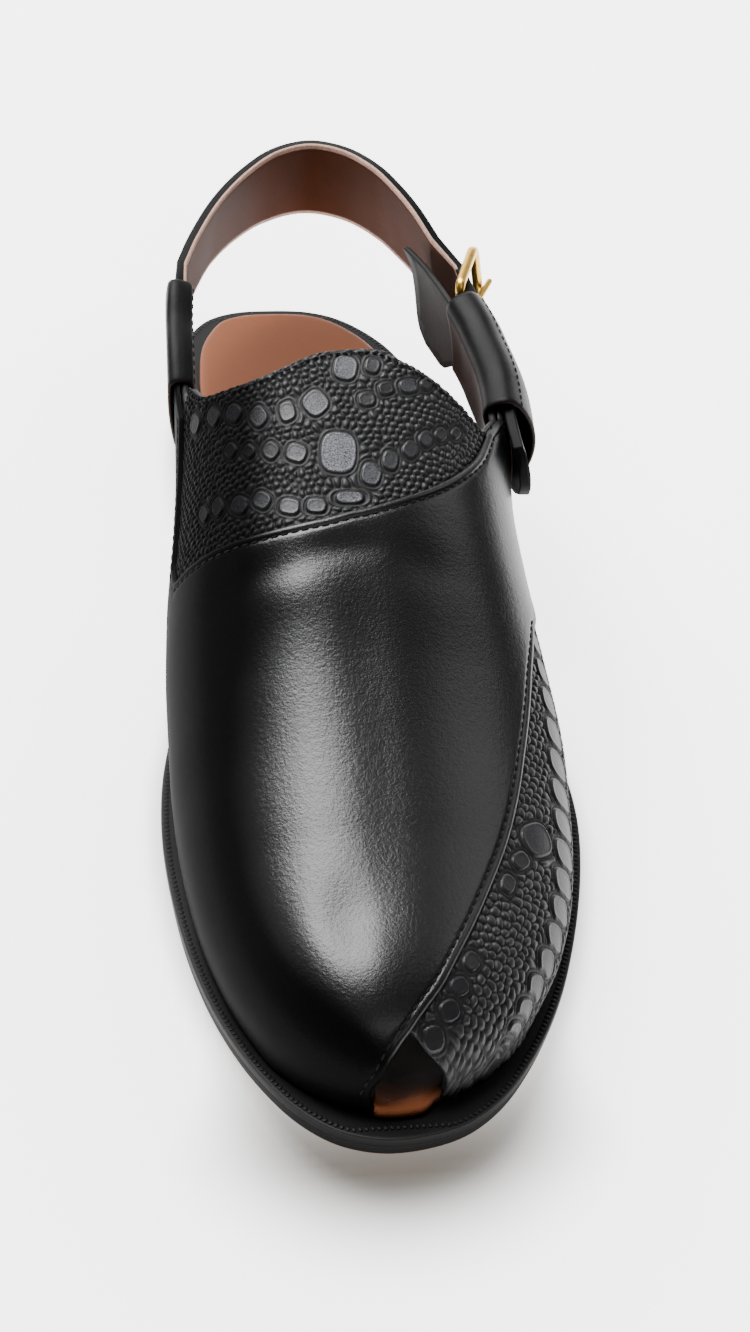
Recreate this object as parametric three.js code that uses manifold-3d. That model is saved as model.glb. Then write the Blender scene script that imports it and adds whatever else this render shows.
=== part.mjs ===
// A man's left peshawari chappal: a closed sandal with an open toe, a heel strap and a side buckle.
// Millimetres. The origin is on the floor under the heel's centre. The toe points to -Y, the outer
// side of the foot to +X, and +Z is up. Medial means the inner side (-X), lateral the outer side (+X).
import * as THREE from "three";
import { mergeVertices } from "three/addons/utils/BufferGeometryUtils.js";
import Module from "manifold-3d";

const wasm = await Module();
wasm.setup();

// Sizes of the sole
const SOLE_LENGTH = 290;
const BALL_WIDTH = 106;
const HEEL_SEAT = 36;
const HEEL_HEIGHT = 22;
const HEEL_LENGTH = 68;
const HEEL_TAPER = 1.6;
const HEEL_GROOVE = 0.5;
const HEEL_TOP_PIECE = 5.5;
const TOE_SPRING = 8;
const OUTSOLE = 3.6;
const WELT = 2.6;
const INSOLE = 3.6;
const INSOLE_HEEL_MARGIN = 6.5;
const INSOLE_TIP_MARGIN = 6.2;
const INSOLE_TOE_EASE = 9.4;
const CLEARANCE = 0.3;
const WELT_SHELF = 3.4;
const EDGE_ROUND = 0.5;
const BREAST_HOLLOW = 4;
const LEDGE = 0.7;

// Sizes of the upper
const INSTEP = 76;
const WALL = 2;
const VAMP_LEATHER = 1.3;

// Sizes of the heel strap, its loops and its buckle. The ears are the leather ends that hold the strap.
const STRAP_WIDTH = 26;
const EAR_WIDTH = 22;
const STRAP_LEATHER = 3;
const STRAP_LEAN = 0.17;
const STRAP_TOP = 88.5;
const STRAP_SPREAD = 40;
const STRAP_STANDOFF = 3.2;
const TIP_SPRING = 2;
const LOOP_LEATHER = 1.1;
const LOOP_CLEARANCE = 0.6;
const BUCKLE_WIRE = 2.4;
const BUCKLE_REACH = 17;
const BUCKLE_STANDOFF = 6.5;
const PRONG_WIRE = 2;

const HALF_EAR = EAR_WIDTH / 2;
const HALF_LEATHER = STRAP_LEATHER / 2;
const HALF_WIRE = BUCKLE_WIRE / 2;
const SOLE = OUTSOLE + CLEARANCE + WELT;
const TOE = HEEL_SEAT - SOLE_LENGTH;

// Layers of the upper as distances from its outer face, inwards below zero
const VAMP_INNER = -VAMP_LEATHER;
const WALL_OUTER = VAMP_INNER - CLEARANCE;
const WALL_INNER = WALL_OUTER - WALL;

// Sole outline: along from the heel's back as a share of the length, widths as shares of the ball width
const OUTLINE = [
  { along: 0.004, medial: 0.175, lateral: 0.055 },
  { along: 0.02, medial: 0.257, lateral: 0.143 },
  { along: 0.065, medial: 0.325, lateral: 0.25 },
  { along: 0.124, medial: 0.347, lateral: 0.31 },
  { along: 0.2, medial: 0.343, lateral: 0.333 },
  { along: 0.3, medial: 0.32, lateral: 0.344 },
  { along: 0.42, medial: 0.345, lateral: 0.399 },
  { along: 0.52, medial: 0.405, lateral: 0.474 },
  { along: 0.6, medial: 0.446, lateral: 0.529 },
  { along: 0.66, medial: 0.455, lateral: 0.537 },
  { along: 0.72, medial: 0.445, lateral: 0.516 },
  { along: 0.79, medial: 0.415, lateral: 0.468 },
  { along: 0.86, medial: 0.362, lateral: 0.398 },
  { along: 0.92, medial: 0.29, lateral: 0.31 },
  { along: 0.965, medial: 0.208, lateral: 0.215 },
  { along: 0.99, medial: 0.125, lateral: 0.118 },
];
const HEEL_SKEW = -0.047;
const TOE_SKEW = -0.022;

// Rise of the sole, as shares of the length: flat at the ball, up to the toe and up to the heel
const SPRING_START = 0.779;
const ARCH_START = 0.531;
const ARCH_END = 0.2;
const SPRING_POWER = 1.8;

// Sections of the upper's outer face. along: share of the length from the heel's back. medial, lateral
// and ridge: half widths and the ridge's place, as shares of the ball width. mWide, lWide and height: of
// the widest lines and the ridge over the sole, as shares of the instep. square: fullness of the shoulders.
const SECTIONS = [
  { along: 0.0966, medial: 0.316, lateral: 0.283, mWide: 0.5, lWide: 0.237, ridge: 0, height: 0.914, square: 2.6 },
  { along: 0.152, medial: 0.35, lateral: 0.35, mWide: 0.55, lWide: 0.25, ridge: 0.005, height: 0.941, square: 2.7 },
  { along: 0.21, medial: 0.376, lateral: 0.394, mWide: 0.58, lWide: 0.263, ridge: 0.009, height: 0.968, square: 2.8 },
  { along: 0.262, medial: 0.38, lateral: 0.426, mWide: 0.585, lWide: 0.303, ridge: 0.019, height: 0.994, square: 2.9 },
  { along: 0.331, medial: 0.384, lateral: 0.448, mWide: 0.53, lWide: 0.395, ridge: 0.019, height: 1, square: 3 },
  { along: 0.383, medial: 0.388, lateral: 0.443, mWide: 0.48, lWide: 0.447, ridge: 0.019, height: 1, square: 2.9 },
  { along: 0.434, medial: 0.401, lateral: 0.439, mWide: 0.43, lWide: 0.421, ridge: 0.014, height: 0.98, square: 2.7 },
  { along: 0.503, medial: 0.425, lateral: 0.458, mWide: 0.345, lWide: 0.342, ridge: 0.009, height: 0.915, square: 2.5 },
  { along: 0.572, medial: 0.434, lateral: 0.486, mWide: 0.25, lWide: 0.25, ridge: 0, height: 0.796, square: 2.35 },
  { along: 0.641, medial: 0.434, lateral: 0.502, mWide: 0.184, lWide: 0.184, ridge: -0.009, height: 0.678, square: 2.25 },
  { along: 0.71, medial: 0.425, lateral: 0.49, mWide: 0.145, lWide: 0.145, ridge: -0.014, height: 0.586, square: 2.2 },
  { along: 0.779, medial: 0.401, lateral: 0.462, mWide: 0.132, lWide: 0.132, ridge: -0.019, height: 0.513, square: 2.2 },
  { along: 0.848, medial: 0.354, lateral: 0.401, mWide: 0.118, lWide: 0.118, ridge: -0.024, height: 0.448, square: 2.2 },
  { along: 0.9, medial: 0.292, lateral: 0.316, mWide: 0.105, lWide: 0.105, ridge: -0.024, height: 0.386, square: 2.2 },
  { along: 0.938, medial: 0.217, lateral: 0.226, mWide: 0.079, lWide: 0.079, ridge: -0.024, height: 0.31, square: 2.2 },
  { along: 0.962, medial: 0.137, lateral: 0.132, mWide: 0.053, lWide: 0.053, ridge: -0.024, height: 0.215, square: 2.2 },
  { along: 0.9776, medial: 0.038, lateral: 0.028, mWide: 0.026, lWide: 0.026, ridge: -0.024, height: 0.078, square: 2.2 },
];
// Share of the half girth, from the ridge, at which the upper is widest
const SHOULDER = 0.62;

// Pattern lines of the upper. along: share of the length. girth: -1 at the sole's medial side, 0 at the
// ridge, 1 at its lateral side.
const MEDIAL_BACK = [
  { along: 0.43, girth: -1.05 },
  { along: 0.412, girth: -0.93 },
  { along: 0.385, girth: -0.85 },
  { along: 0.345, girth: -0.8 },
];
const COLLAR = [
  { along: 0.341, girth: -0.465 },
  { along: 0.367, girth: -0.385 },
  { along: 0.381, girth: -0.3 },
  { along: 0.389, girth: -0.2 },
  { along: 0.387, girth: -0.11 },
  { along: 0.376, girth: -0.03 },
  { along: 0.373, girth: 0.025 },
  { along: 0.384, girth: 0.075 },
  { along: 0.395, girth: 0.14 },
  { along: 0.404, girth: 0.2 },
  { along: 0.412, girth: 0.27 },
  { along: 0.414, girth: 0.325 },
  { along: 0.397, girth: 0.375 },
];
const VAMP_WING = [
  { along: 0.356, girth: -0.51 },
  { along: 0.4, girth: -0.537 },
  { along: 0.475, girth: -0.54 },
];
const VAMP_THROAT = [
  { along: 0.5, girth: -0.49 },
  { along: 0.512, girth: -0.36 },
  { along: 0.523, girth: -0.2 },
  { along: 0.524, girth: -0.08 },
  { along: 0.517, girth: 0 },
  { along: 0.49, girth: 0.142 },
  { along: 0.45, girth: 0.27 },
  { along: 0.412, girth: 0.34 },
];
const VAMP_UNDER = [
  { along: 0.43, girth: 0.625 },
  { along: 0.5, girth: 0.545 },
  { along: 0.548, girth: 0.47 },
];
const VAMP_SIDE = [
  { along: 0.569, girth: 0.418 },
  { along: 0.621, girth: 0.358 },
  { along: 0.683, girth: 0.32 },
  { along: 0.734, girth: 0.29 },
  { along: 0.779, girth: 0.26 },
  { along: 0.841, girth: 0.21 },
  { along: 0.893, girth: 0.163 },
  { along: 0.92, girth: 0.13 },
  { along: 0.948, girth: 0.062 },
];
const PANEL_BACK = [
  { along: 0.535, girth: 0.51 },
  { along: 0.514, girth: 0.6 },
  { along: 0.49, girth: 0.74 },
  { along: 0.47, girth: 0.9 },
  { along: 0.465, girth: 1.05 },
];
const TOE_LATERAL = [
  { along: 0.969, girth: 1.05 },
  { along: 0.969, girth: 0.78 },
  { along: 0.967, girth: 0.5 },
  { along: 0.963, girth: 0.26 },
  { along: 0.957, girth: 0.14 },
  { along: 0.948, girth: 0.062 },
];
const TOE_MEDIAL = [
  { along: 0.96, girth: 0.01 },
  { along: 0.966, girth: -0.04 },
  { along: 0.97, girth: -0.14 },
  { along: 0.972, girth: -0.35 },
  { along: 0.974, girth: -0.7 },
  { along: 0.974, girth: -1.05 },
];
// Middle lines of the two ears that carry the heel strap, from the end of each ear to its root
const MEDIAL_EAR = [
  { along: 0.1, girth: -0.62 },
  { along: 0.207, girth: -0.638 },
  { along: 0.255, girth: -0.675 },
  { along: 0.31, girth: -0.675 },
  { along: 0.34, girth: -0.655 },
];
const LATERAL_EAR = [
  { along: 0.1, girth: 0.475 },
  { along: 0.21, girth: 0.489 },
  { along: 0.29, girth: 0.52 },
  { along: 0.369, girth: 0.54 },
  { along: 0.43, girth: 0.525 },
];
const MEDIAL_EAR_END = 0.255;
const MEDIAL_LOOP_FROM = 0.205;
const MEDIAL_LOOP_TO = 0.313;
const FLAP_TOP = 0.122;
const BUCKLE_BAR = 0.214;
const LATERAL_LOOP_FROM = 0.231;
const LATERAL_LOOP_TO = 0.366;
const STRAP_TIP = 0.409;
// Free end of the lateral ear's lining flap, behind the buckle
const FLAP_END = [
  { along: 0.129, girth: 0.43 },
  { along: 0.133, girth: 0.57 },
  { along: 0.152, girth: 0.62 },
  { along: 0.186, girth: 0.64 },
];

// Top edge of the heel strap's outer face from the medial loop round the heel to the buckle. across: share
// of the strap's spread. back: of the heel seat. top: of the top edge's height. wide: of the strap's
// width. lean: of its full lean.
const STRAP_LINE = [
  { across: -0.955, back: -0.47, top: 0.92, wide: 0.82, lean: 0.3 },
  { across: -0.8625, back: -0.208, top: 0.9435, wide: 0.8, lean: 0.5 },
  { across: -0.6875, back: 0.186, top: 0.972, wide: 0.87, lean: 0.85 },
  { across: -0.4675, back: 0.547, top: 0.989, wide: 0.95, lean: 1 },
  { across: -0.2175, back: 0.822, top: 1, wide: 1, lean: 1 },
  { across: 0.0575, back: 0.944, top: 1, wide: 1, lean: 1 },
  { across: 0.3125, back: 0.844, top: 1, wide: 1, lean: 1 },
  { across: 0.5225, back: 0.608, top: 0.994, wide: 1, lean: 1 },
  { across: 0.6575, back: 0.375, top: 0.977, wide: 0.98, lean: 1 },
  { across: 0.775, back: 0.125, top: 0.9525, wide: 0.94, lean: 1 },
  { across: 0.8825, back: -0.125, top: 0.913, wide: 0.89, lean: 1 },
];

const along = (share) => HEEL_SEAT - SOLE_LENGTH * share;
const shareAt = (y) => (HEEL_SEAT - y) / SOLE_LENGTH;
const mix = THREE.MathUtils.lerp;
const ease = (share, from, to) => THREE.MathUtils.smoothstep(share, from, to);

// Height of the sole's underside over the floor
function rise(y) {
  const share = shareAt(y);
  const spring = Math.max(0, (share - SPRING_START) / (1 - SPRING_START));
  const arch = 1 - ease(share, ARCH_END, ARCH_START);
  return TOE_SPRING * spring ** SPRING_POWER + HEEL_HEIGHT * arch;
}
const soleTop = (y) => rise(y) + SOLE;

// A column of a table as a smooth function of the share along, by cubic pieces that never overshoot
function smoothColumn(table, column) {
  const at = table.map((row) => row.along);
  const value = table.map((row) => row[column]);
  const slope = at.slice(1).map((a, i) => (value[i + 1] - value[i]) / (a - at[i]));
  const tangent = value.map((_, i) => {
    if (i === 0 || i === slope.length) return slope[Math.min(i, slope.length - 1)];
    const [before, after] = [slope[i - 1], slope[i]];
    return before * after <= 0 ? 0 : (2 * before * after) / (before + after);
  });
  return (share) => {
    let i = at.findIndex((a) => a >= share) - 1;
    if (share >= at[at.length - 1]) i = slope.length - 1;
    i = Math.max(i, 0);
    const step = at[i + 1] - at[i];
    const t = THREE.MathUtils.clamp((share - at[i]) / step, 0, 1);
    const [t2, t3] = [t * t, t * t * t];
    return (2 * t3 - 3 * t2 + 1) * value[i] + (t3 - 2 * t2 + t) * step * tangent[i]
      + (3 * t2 - 2 * t3) * value[i + 1] + (t3 - t2) * step * tangent[i + 1];
  };
}

// A closed solid from points and triangles: equal points are merged and flat slivers dropped
function solid(points, triangles) {
  const geometry = new THREE.BufferGeometry();
  geometry.setAttribute("position", new THREE.Float32BufferAttribute(points.flatMap((p) => [p.x, p.y, p.z]), 3));
  geometry.setIndex(triangles.flat());
  const merged = mergeVertices(geometry, 1e-4);
  const index = Array.from(merged.index.array);
  const kept = [];
  for (let i = 0; i < index.length; i += 3) {
    const [a, b, c] = index.slice(i, i + 3);
    if (a !== b && b !== c && c !== a) kept.push(a, b, c);
  }
  merged.setIndex(kept);
  return merged;
}

function toManifold(geometry) {
  const bare = geometry.clone();
  bare.deleteAttribute("normal");
  bare.deleteAttribute("uv");
  const merged = mergeVertices(bare, 1e-4);
  return new wasm.Manifold(new wasm.Mesh({
    numProp: 3,
    vertProperties: merged.attributes.position.array,
    triVerts: new Uint32Array(merged.index.array),
  }));
}

function toGeometry(manifold) {
  const mesh = manifold.getMesh();
  const geometry = new THREE.BufferGeometry();
  geometry.setAttribute("position", new THREE.BufferAttribute(new Float32Array(mesh.vertProperties), 3));
  geometry.setIndex(new THREE.BufferAttribute(new Uint32Array(mesh.triVerts), 1));
  return geometry;
}

// Joins points that an edge shorter than SHORTEST_EDGE links, so that a cut leaves no sliver
const SHORTEST_EDGE = 0.08;
function withoutSlivers(geometry) {
  const { position } = geometry.attributes;
  const index = Array.from(geometry.index.array);
  const joined = Array.from({ length: position.count }, (_, i) => i);
  const root = (i) => (joined[i] === i ? i : root(joined[i]));
  const at = (i) => new THREE.Vector3().fromBufferAttribute(position, i);
  for (let i = 0; i < index.length; i += 3) {
    for (let j = 0; j < 3; j += 1) {
      const [a, b] = [root(index[i + j]), root(index[i + ((j + 1) % 3)])];
      if (a !== b && at(a).distanceTo(at(b)) < SHORTEST_EDGE) joined[b] = a;
    }
  }
  const kept = [];
  for (let i = 0; i < index.length; i += 3) {
    const [a, b, c] = index.slice(i, i + 3).map(root);
    if (a !== b && b !== c && c !== a) kept.push(a, b, c);
  }
  geometry.setIndex(kept);
  return toGeometry(toManifold(geometry));
}

// A solid from equal closed loops of points, one after another, with both end loops filled as strips
function loft(loops, fill) {
  const count = loops[0].length;
  const points = loops.flat();
  const triangles = [];
  for (let i = 0; i + 1 < loops.length; i += 1) {
    for (let j = 0; j < count; j += 1) {
      const k = (j + 1) % count;
      const [a, b, c, d] = [i * count + j, i * count + k, (i + 1) * count + k, (i + 1) * count + j];
      triangles.push([a, b, c], [a, c, d]);
    }
  }
  const last = (loops.length - 1) * count;
  for (const [a, b, c] of fill(count)) triangles.push([a, c, b], [last + a, last + b, last + c]);
  return solid(points, triangles);
}

// Fills a loop that runs out along one side and back along the other
function fillStrip(count) {
  const half = count / 2;
  const triangles = [];
  for (let i = 0; i + 1 < half; i += 1) {
    const [a, b, c, d] = [i, i + 1, count - 2 - i, count - 1 - i];
    triangles.push([a, b, c], [a, c, d]);
  }
  return triangles;
}

// The sole's outline, as two dense runs of points from the heel's back to the toe's tip
const soleEdges = (() => {
  const at = (row, width) => new THREE.Vector3(width * BALL_WIDTH, along(row.along), 0);
  const medial = OUTLINE.map((row) => at(row, -row.medial));
  const lateral = OUTLINE.map((row) => at(row, row.lateral)).reverse();
  const back = new THREE.Vector3(HEEL_SKEW * BALL_WIDTH, HEEL_SEAT, 0);
  const tip = new THREE.Vector3(TOE_SKEW * BALL_WIDTH, TOE, 0);
  const curve = new THREE.CatmullRomCurve3([back, ...medial, tip, ...lateral], true, "centripetal");
  const points = curve.getPoints(720).slice(0, -1);
  const turn = points.reduce((best, p, i) => (p.y < points[best].y ? i : best), 0);
  return { medial: points.slice(0, turn + 1), lateral: [points[0], ...points.slice(turn).reverse()] };
})();

// The point of one edge at y, moved inwards by an inset
function edgePoint(run, y, inset) {
  let i = run.findIndex((p) => p.y <= y);
  i = THREE.MathUtils.clamp(i, 1, run.length - 1);
  const [a, b] = [run[i - 1], run[i]];
  const t = THREE.MathUtils.clamp((y - a.y) / (b.y - a.y || 1), 0, 1);
  const side = run === soleEdges.medial ? 1 : -1;
  const inward = new THREE.Vector3(a.y - b.y, b.x - a.x, 0).normalize().multiplyScalar(side * inset);
  return a.clone().lerp(b, t).add(inward);
}

// A layer of the sole between two shares of the length. edge: rows of an inset and a level, from 0 at the
// layer's bottom to 1 at its top. inset(share) is added all along.
function soleLayer({ to = 1, bottom, top, edge, inset = () => 0, front = () => 0, stations = 40 }) {
  const end = along(to);
  const whole = to === 1;
  const shares = Array.from({ length: stations + 1 }, (_, i) => {
    const t = i / stations;
    return whole ? (1 - Math.cos(Math.PI * t)) / 2 : 1 - Math.cos((Math.PI / 2) * t);
  });
  const loops = edge.map((row) => {
    const at = (side, y) => edgePoint(soleEdges[side], y, row.inset + inset(shareAt(y)));
    const run = (side) => shares.map((share) => {
      const y = mix(HEEL_SEAT, end, share);
      const p = at(side, y);
      const single = share === 0 || (whole && share === 1);
      if (single) p.lerp(at(side === "medial" ? "lateral" : "medial", y), 0.5);
      if (share === 1) p.y += front(row);
      p.z = mix(bottom(p.y), top(p.y), row.level);
      return p;
    });
    return [...run("medial"), ...run("lateral").reverse()];
  });
  return loft(loops, fillStrip);
}

function outsole() {
  return soleLayer({
    bottom: rise,
    top: (y) => rise(y) + OUTSOLE,
    edge: [
      { inset: EDGE_ROUND * 2, level: 0 },
      { inset: EDGE_ROUND, level: 0.18 },
      { inset: EDGE_ROUND, level: 1 },
    ],
  });
}

function welt() {
  return soleLayer({
    bottom: (y) => rise(y) + OUTSOLE + CLEARANCE,
    top: soleTop,
    edge: [
      { inset: EDGE_ROUND / 2, level: 0 },
      { inset: 0, level: 0.25 },
      { inset: 0, level: 0.8 },
      { inset: EDGE_ROUND, level: 1 },
    ],
  });
}

// The heel block: stands flat, follows the arch above, and has a groove over its top piece
function heel() {
  const groove = HEEL_TOP_PIECE / HEEL_HEIGHT;
  const lip = HEEL_GROOVE / HEEL_HEIGHT;
  const taper = (level) => mix(HEEL_TAPER, EDGE_ROUND, level) + EDGE_ROUND;
  const row = (level, extra = 0) => ({ inset: taper(level) + extra, level });
  return soleLayer({
    to: HEEL_LENGTH / SOLE_LENGTH,
    bottom: () => 0,
    top: (y) => rise(y) - CLEARANCE,
    edge: [row(0, EDGE_ROUND), row(lip * 1.5), row(groove - lip), row(groove, HEEL_GROOVE),
      row(groove + lip), row(0.6), row(1)],
    front: (edgeRow) => BREAST_HOLLOW * 2 * edgeRow.level * (1 - edgeRow.level),
    stations: 20,
  });
}

// The insole lies inside the upper, reaches close to the sole's edge at the open heel, and its front
// edge comes forward a little in the toe opening
const INSOLE_UPPER_MARGIN = WELT_SHELF - WALL_INNER + LEDGE;
const HEEL_OPEN_END = 0.22;
const UPPER_START = 0.4;
const TOE_EASE_START = 0.85;
const TOE_EASE_END = 0.95;
const TONGUE_START = 0.992;
const TONGUE_END = 0.998;
function insoleMargin(share) {
  const upper = mix(INSOLE_HEEL_MARGIN, INSOLE_UPPER_MARGIN, ease(share, HEEL_OPEN_END, UPPER_START));
  const toe = upper + INSOLE_TOE_EASE * ease(share, TOE_EASE_START, TOE_EASE_END);
  return mix(toe, INSOLE_TIP_MARGIN, ease(share, TONGUE_START, TONGUE_END));
}
function insole() {
  return soleLayer({
    bottom: (y) => soleTop(y) + CLEARANCE,
    top: (y) => soleTop(y) + CLEARANCE + INSOLE,
    edge: [
      { inset: 0, level: 0 },
      { inset: 0, level: 0.5 },
      { inset: 0.5, level: 0.85 },
      { inset: 1.6, level: 1 },
    ],
    inset: insoleMargin,
  });
}

// The upper's outer face at a girth and a share along, before any offset
const column = Object.fromEntries(
  Object.keys(SECTIONS[0]).map((key) => [key, smoothColumn(SECTIONS, key)]));
function facePoint(girth, share) {
  const y = along(share);
  const side = girth < 0 ? -1 : 1;
  const name = side < 0 ? "medial" : "lateral";
  const widest = side * column[name](share) * BALL_WIDTH;
  const edge = edgePoint(soleEdges[name], y, 0).x - side * WELT_SHELF;
  const feather = side * Math.min(side * edge, side * widest);
  const foot = soleTop(y) + CLEARANCE;
  const shoulder = foot + column[side < 0 ? "mWide" : "lWide"](share) * INSTEP;
  const t = Math.min(Math.abs(girth), 1);
  if (t > SHOULDER) {
    const up = (1 - t) / (1 - SHOULDER);
    const bow = Math.sin((up * Math.PI) / 2);
    return new THREE.Vector3(mix(feather, widest, bow), y, mix(foot, shoulder, up));
  }
  const angle = (1 - t / SHOULDER) * (Math.PI / 2);
  const ridge = column.ridge(share) * BALL_WIDTH;
  const top = soleTop(y) + column.height(share) * INSTEP;
  const full = Math.max(Math.cos(angle), 0) ** (2 / column.square(share));
  return new THREE.Vector3(mix(ridge, widest, full), y, mix(shoulder, top, Math.sin(angle)));
}

// The same face moved out along its normal, with its lowest edge kept level over the sole
const FACE_STEP = 0.012;
const FACE_BACK = SECTIONS[0].along;
const FACE_FRONT = SECTIONS[SECTIONS.length - 1].along;
function lastPoint(girth, share, offset) {
  const clamp = THREE.MathUtils.clamp;
  const point = facePoint(girth, share);
  const round = facePoint(clamp(girth + FACE_STEP, -1, 1), share)
    .sub(facePoint(clamp(girth - FACE_STEP, -1, 1), share));
  const length = facePoint(girth, clamp(share + FACE_STEP / 4, FACE_BACK, FACE_FRONT))
    .sub(facePoint(girth, clamp(share - FACE_STEP / 4, FACE_BACK, FACE_FRONT)));
  point.add(length.cross(round).normalize().multiplyScalar(offset));
  const foot = soleTop(point.y) + CLEARANCE;
  if (Math.abs(girth) > 0.999 || point.z < foot) point.z = foot;
  return point;
}

// The leather is cut flat and then drawn over the last. The flat sheet has two layers of a grid, and a
// slight bulge that keeps its grid whole while the outline is cut.
const SHEET_COLUMNS = 24;
const SHEET_ROWS = 28;
const SHEET_BULGE = 900;
const SHEET_THICK = 4;
const GIRTH_WIDTH = 100;
const bulge = (x, y) => -(x * x + (y + GIRTH_WIDTH) ** 2) / SHEET_BULGE;
function flatSheet() {
  const layer = (height) => {
    const points = [];
    for (let i = 0; i <= SHEET_ROWS; i += 1) {
      const share = mix(FACE_FRONT, FACE_BACK, (i / SHEET_ROWS) ** 1.5);
      for (let j = 0; j <= SHEET_COLUMNS; j += 1) {
        const x = mix(-GIRTH_WIDTH, GIRTH_WIDTH, j / SHEET_COLUMNS);
        points.push(new THREE.Vector3(x, along(share), bulge(x, along(share)) + height));
      }
    }
    return points;
  };
  const width = SHEET_COLUMNS + 1;
  const count = width * (SHEET_ROWS + 1);
  const triangles = [];
  for (let i = 0; i < SHEET_ROWS; i += 1) {
    for (let j = 0; j < SHEET_COLUMNS; j += 1) {
      const [a, b, c, d] = [i * width + j, i * width + j + 1, (i + 1) * width + j + 1, (i + 1) * width + j];
      triangles.push([a, c, b], [a, d, c]);
      triangles.push([count + a, count + b, count + c], [count + a, count + c, count + d]);
    }
  }
  const rim = [];
  for (let j = 0; j < SHEET_COLUMNS; j += 1) rim.push(j);
  for (let i = 0; i < SHEET_ROWS; i += 1) rim.push(i * width + SHEET_COLUMNS);
  for (let j = SHEET_COLUMNS; j > 0; j -= 1) rim.push(SHEET_ROWS * width + j);
  for (let i = SHEET_ROWS; i > 0; i -= 1) rim.push(i * width);
  rim.forEach((a, i) => {
    const b = rim[(i + 1) % rim.length];
    triangles.push([a, b, count + b], [a, count + b, count + a]);
  });
  return solid([...layer(0), ...layer(SHEET_THICK)], triangles);
}

// A cut piece of leather on the last, between two distances from its outer face
function lasted(outline, inner, outer) {
  const depth = 400;
  const cutter = new THREE.ExtrudeGeometry(outline, { depth, bevelEnabled: false, curveSegments: 5 });
  cutter.translate(0, 0, -depth / 2);
  const piece = withoutSlivers(toGeometry(toManifold(flatSheet()).intersect(toManifold(cutter))));
  const position = piece.attributes.position;
  for (let i = 0; i < position.count; i += 1) {
    const [x, y, z] = [position.getX(i), position.getY(i), position.getZ(i)];
    const outside = z - bulge(x, y) > SHEET_THICK / 2;
    const point = lastPoint(x / GIRTH_WIDTH, shareAt(y), outside ? outer : inner);
    position.setXYZ(i, point.x, point.y, point.z);
  }
  return withoutSlivers(piece);
}

// Ear middle lines, and how much girth a millimetre across an ear takes
const earMiddle = { medial: smoothColumn(MEDIAL_EAR, "girth"), lateral: smoothColumn(LATERAL_EAR, "girth") };
function acrossEar(side, share, width) {
  const middle = earMiddle[side](share);
  const span = facePoint(middle + 0.05, share).distanceTo(facePoint(middle - 0.05, share));
  return middle + (width * 0.1) / span;
}
const earEdge = (side, share, width) => ({ along: share, girth: acrossEar(side, share, width) });

// Pattern pieces as closed outlines in the flat sheet
const flat = (row) => new THREE.Vector2(row.girth * GIRTH_WIDTH, along(row.along));
function pattern(runs) {
  const shape = new THREE.Shape();
  runs.forEach((run, i) => {
    const points = run.map(flat);
    if (i === 0) shape.moveTo(points[0].x, points[0].y);
    else shape.lineTo(points[0].x, points[0].y);
    if (points.length > 2) shape.splineThru(points.slice(1));
    else if (points.length === 2) shape.lineTo(points[1].x, points[1].y);
  });
  shape.closePath();
  return shape;
}
const EAR_ROOT = 0.01;
const earRun = (side, from, to, width) =>
  Array.from({ length: 5 }, (_, i) => earEdge(side, mix(from, to, i / 4), width));
const medialEarRuns = (end) => {
  const root = MEDIAL_LOOP_TO + EAR_ROOT;
  return [[...MEDIAL_BACK, ...earRun("medial", root, end, -HALF_EAR)], earRun("medial", end, root, HALF_EAR)];
};
const lateralEarRuns = (end, endRun = []) => {
  const root = LATERAL_LOOP_TO + EAR_ROOT;
  const back = endRun.length ? LATERAL_LOOP_FROM - EAR_ROOT : end;
  return [earRun("lateral", root, end, -HALF_EAR), ...(endRun.length ? [endRun] : []),
    [...earRun("lateral", back, root, HALF_EAR), ...VAMP_UNDER]];
};

// The hollow upper: lining, embossed instep flap, embossed side panel and both ears in one wall
function upper() {
  return lasted(pattern([
    ...medialEarRuns(MEDIAL_EAR_END), COLLAR, ...lateralEarRuns(FLAP_TOP, FLAP_END), PANEL_BACK,
    TOE_LATERAL, TOE_MEDIAL,
  ]), WALL_INNER, WALL_OUTER);
}

// The smooth vamp over it, from the sole's medial edge across the foot to both ears
const BAR_SHARE = (HALF_WIRE + CLEARANCE * 2) / SOLE_LENGTH;
function vamp() {
  return lasted(pattern([
    ...medialEarRuns(MEDIAL_EAR_END), VAMP_WING, VAMP_THROAT, ...lateralEarRuns(BUCKLE_BAR + BAR_SHARE),
    VAMP_SIDE, TOE_MEDIAL,
  ]), VAMP_INNER, 0);
}

// A point of a strap that lies on an ear: width up from the ear's middle, offset from the last
function earPoint(side, share, width, offset) {
  return lastPoint(acrossEar(side, share, side === "medial" ? width : -width), share, offset);
}

// The buckle stands on a plane from its bar, at the end of the lateral ear, to its far end
const buckle = (() => {
  const bar = earPoint("lateral", BUCKLE_BAR, 0, WALL_OUTER + CLEARANCE * 2 + HALF_WIRE);
  const up = earPoint("lateral", BUCKLE_BAR, HALF_EAR, 0)
    .sub(earPoint("lateral", BUCKLE_BAR, -HALF_EAR, 0)).normalize();
  const far = bar.clone().add(new THREE.Vector3(BUCKLE_STANDOFF, BUCKLE_REACH, 0));
  const reach = far.clone().sub(bar);
  reach.addScaledVector(up, -reach.dot(up)).normalize();
  const outward = new THREE.Vector3().crossVectors(reach, up).normalize();
  return { bar, up, reach, outward, length: bar.distanceTo(far) };
})();

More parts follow.
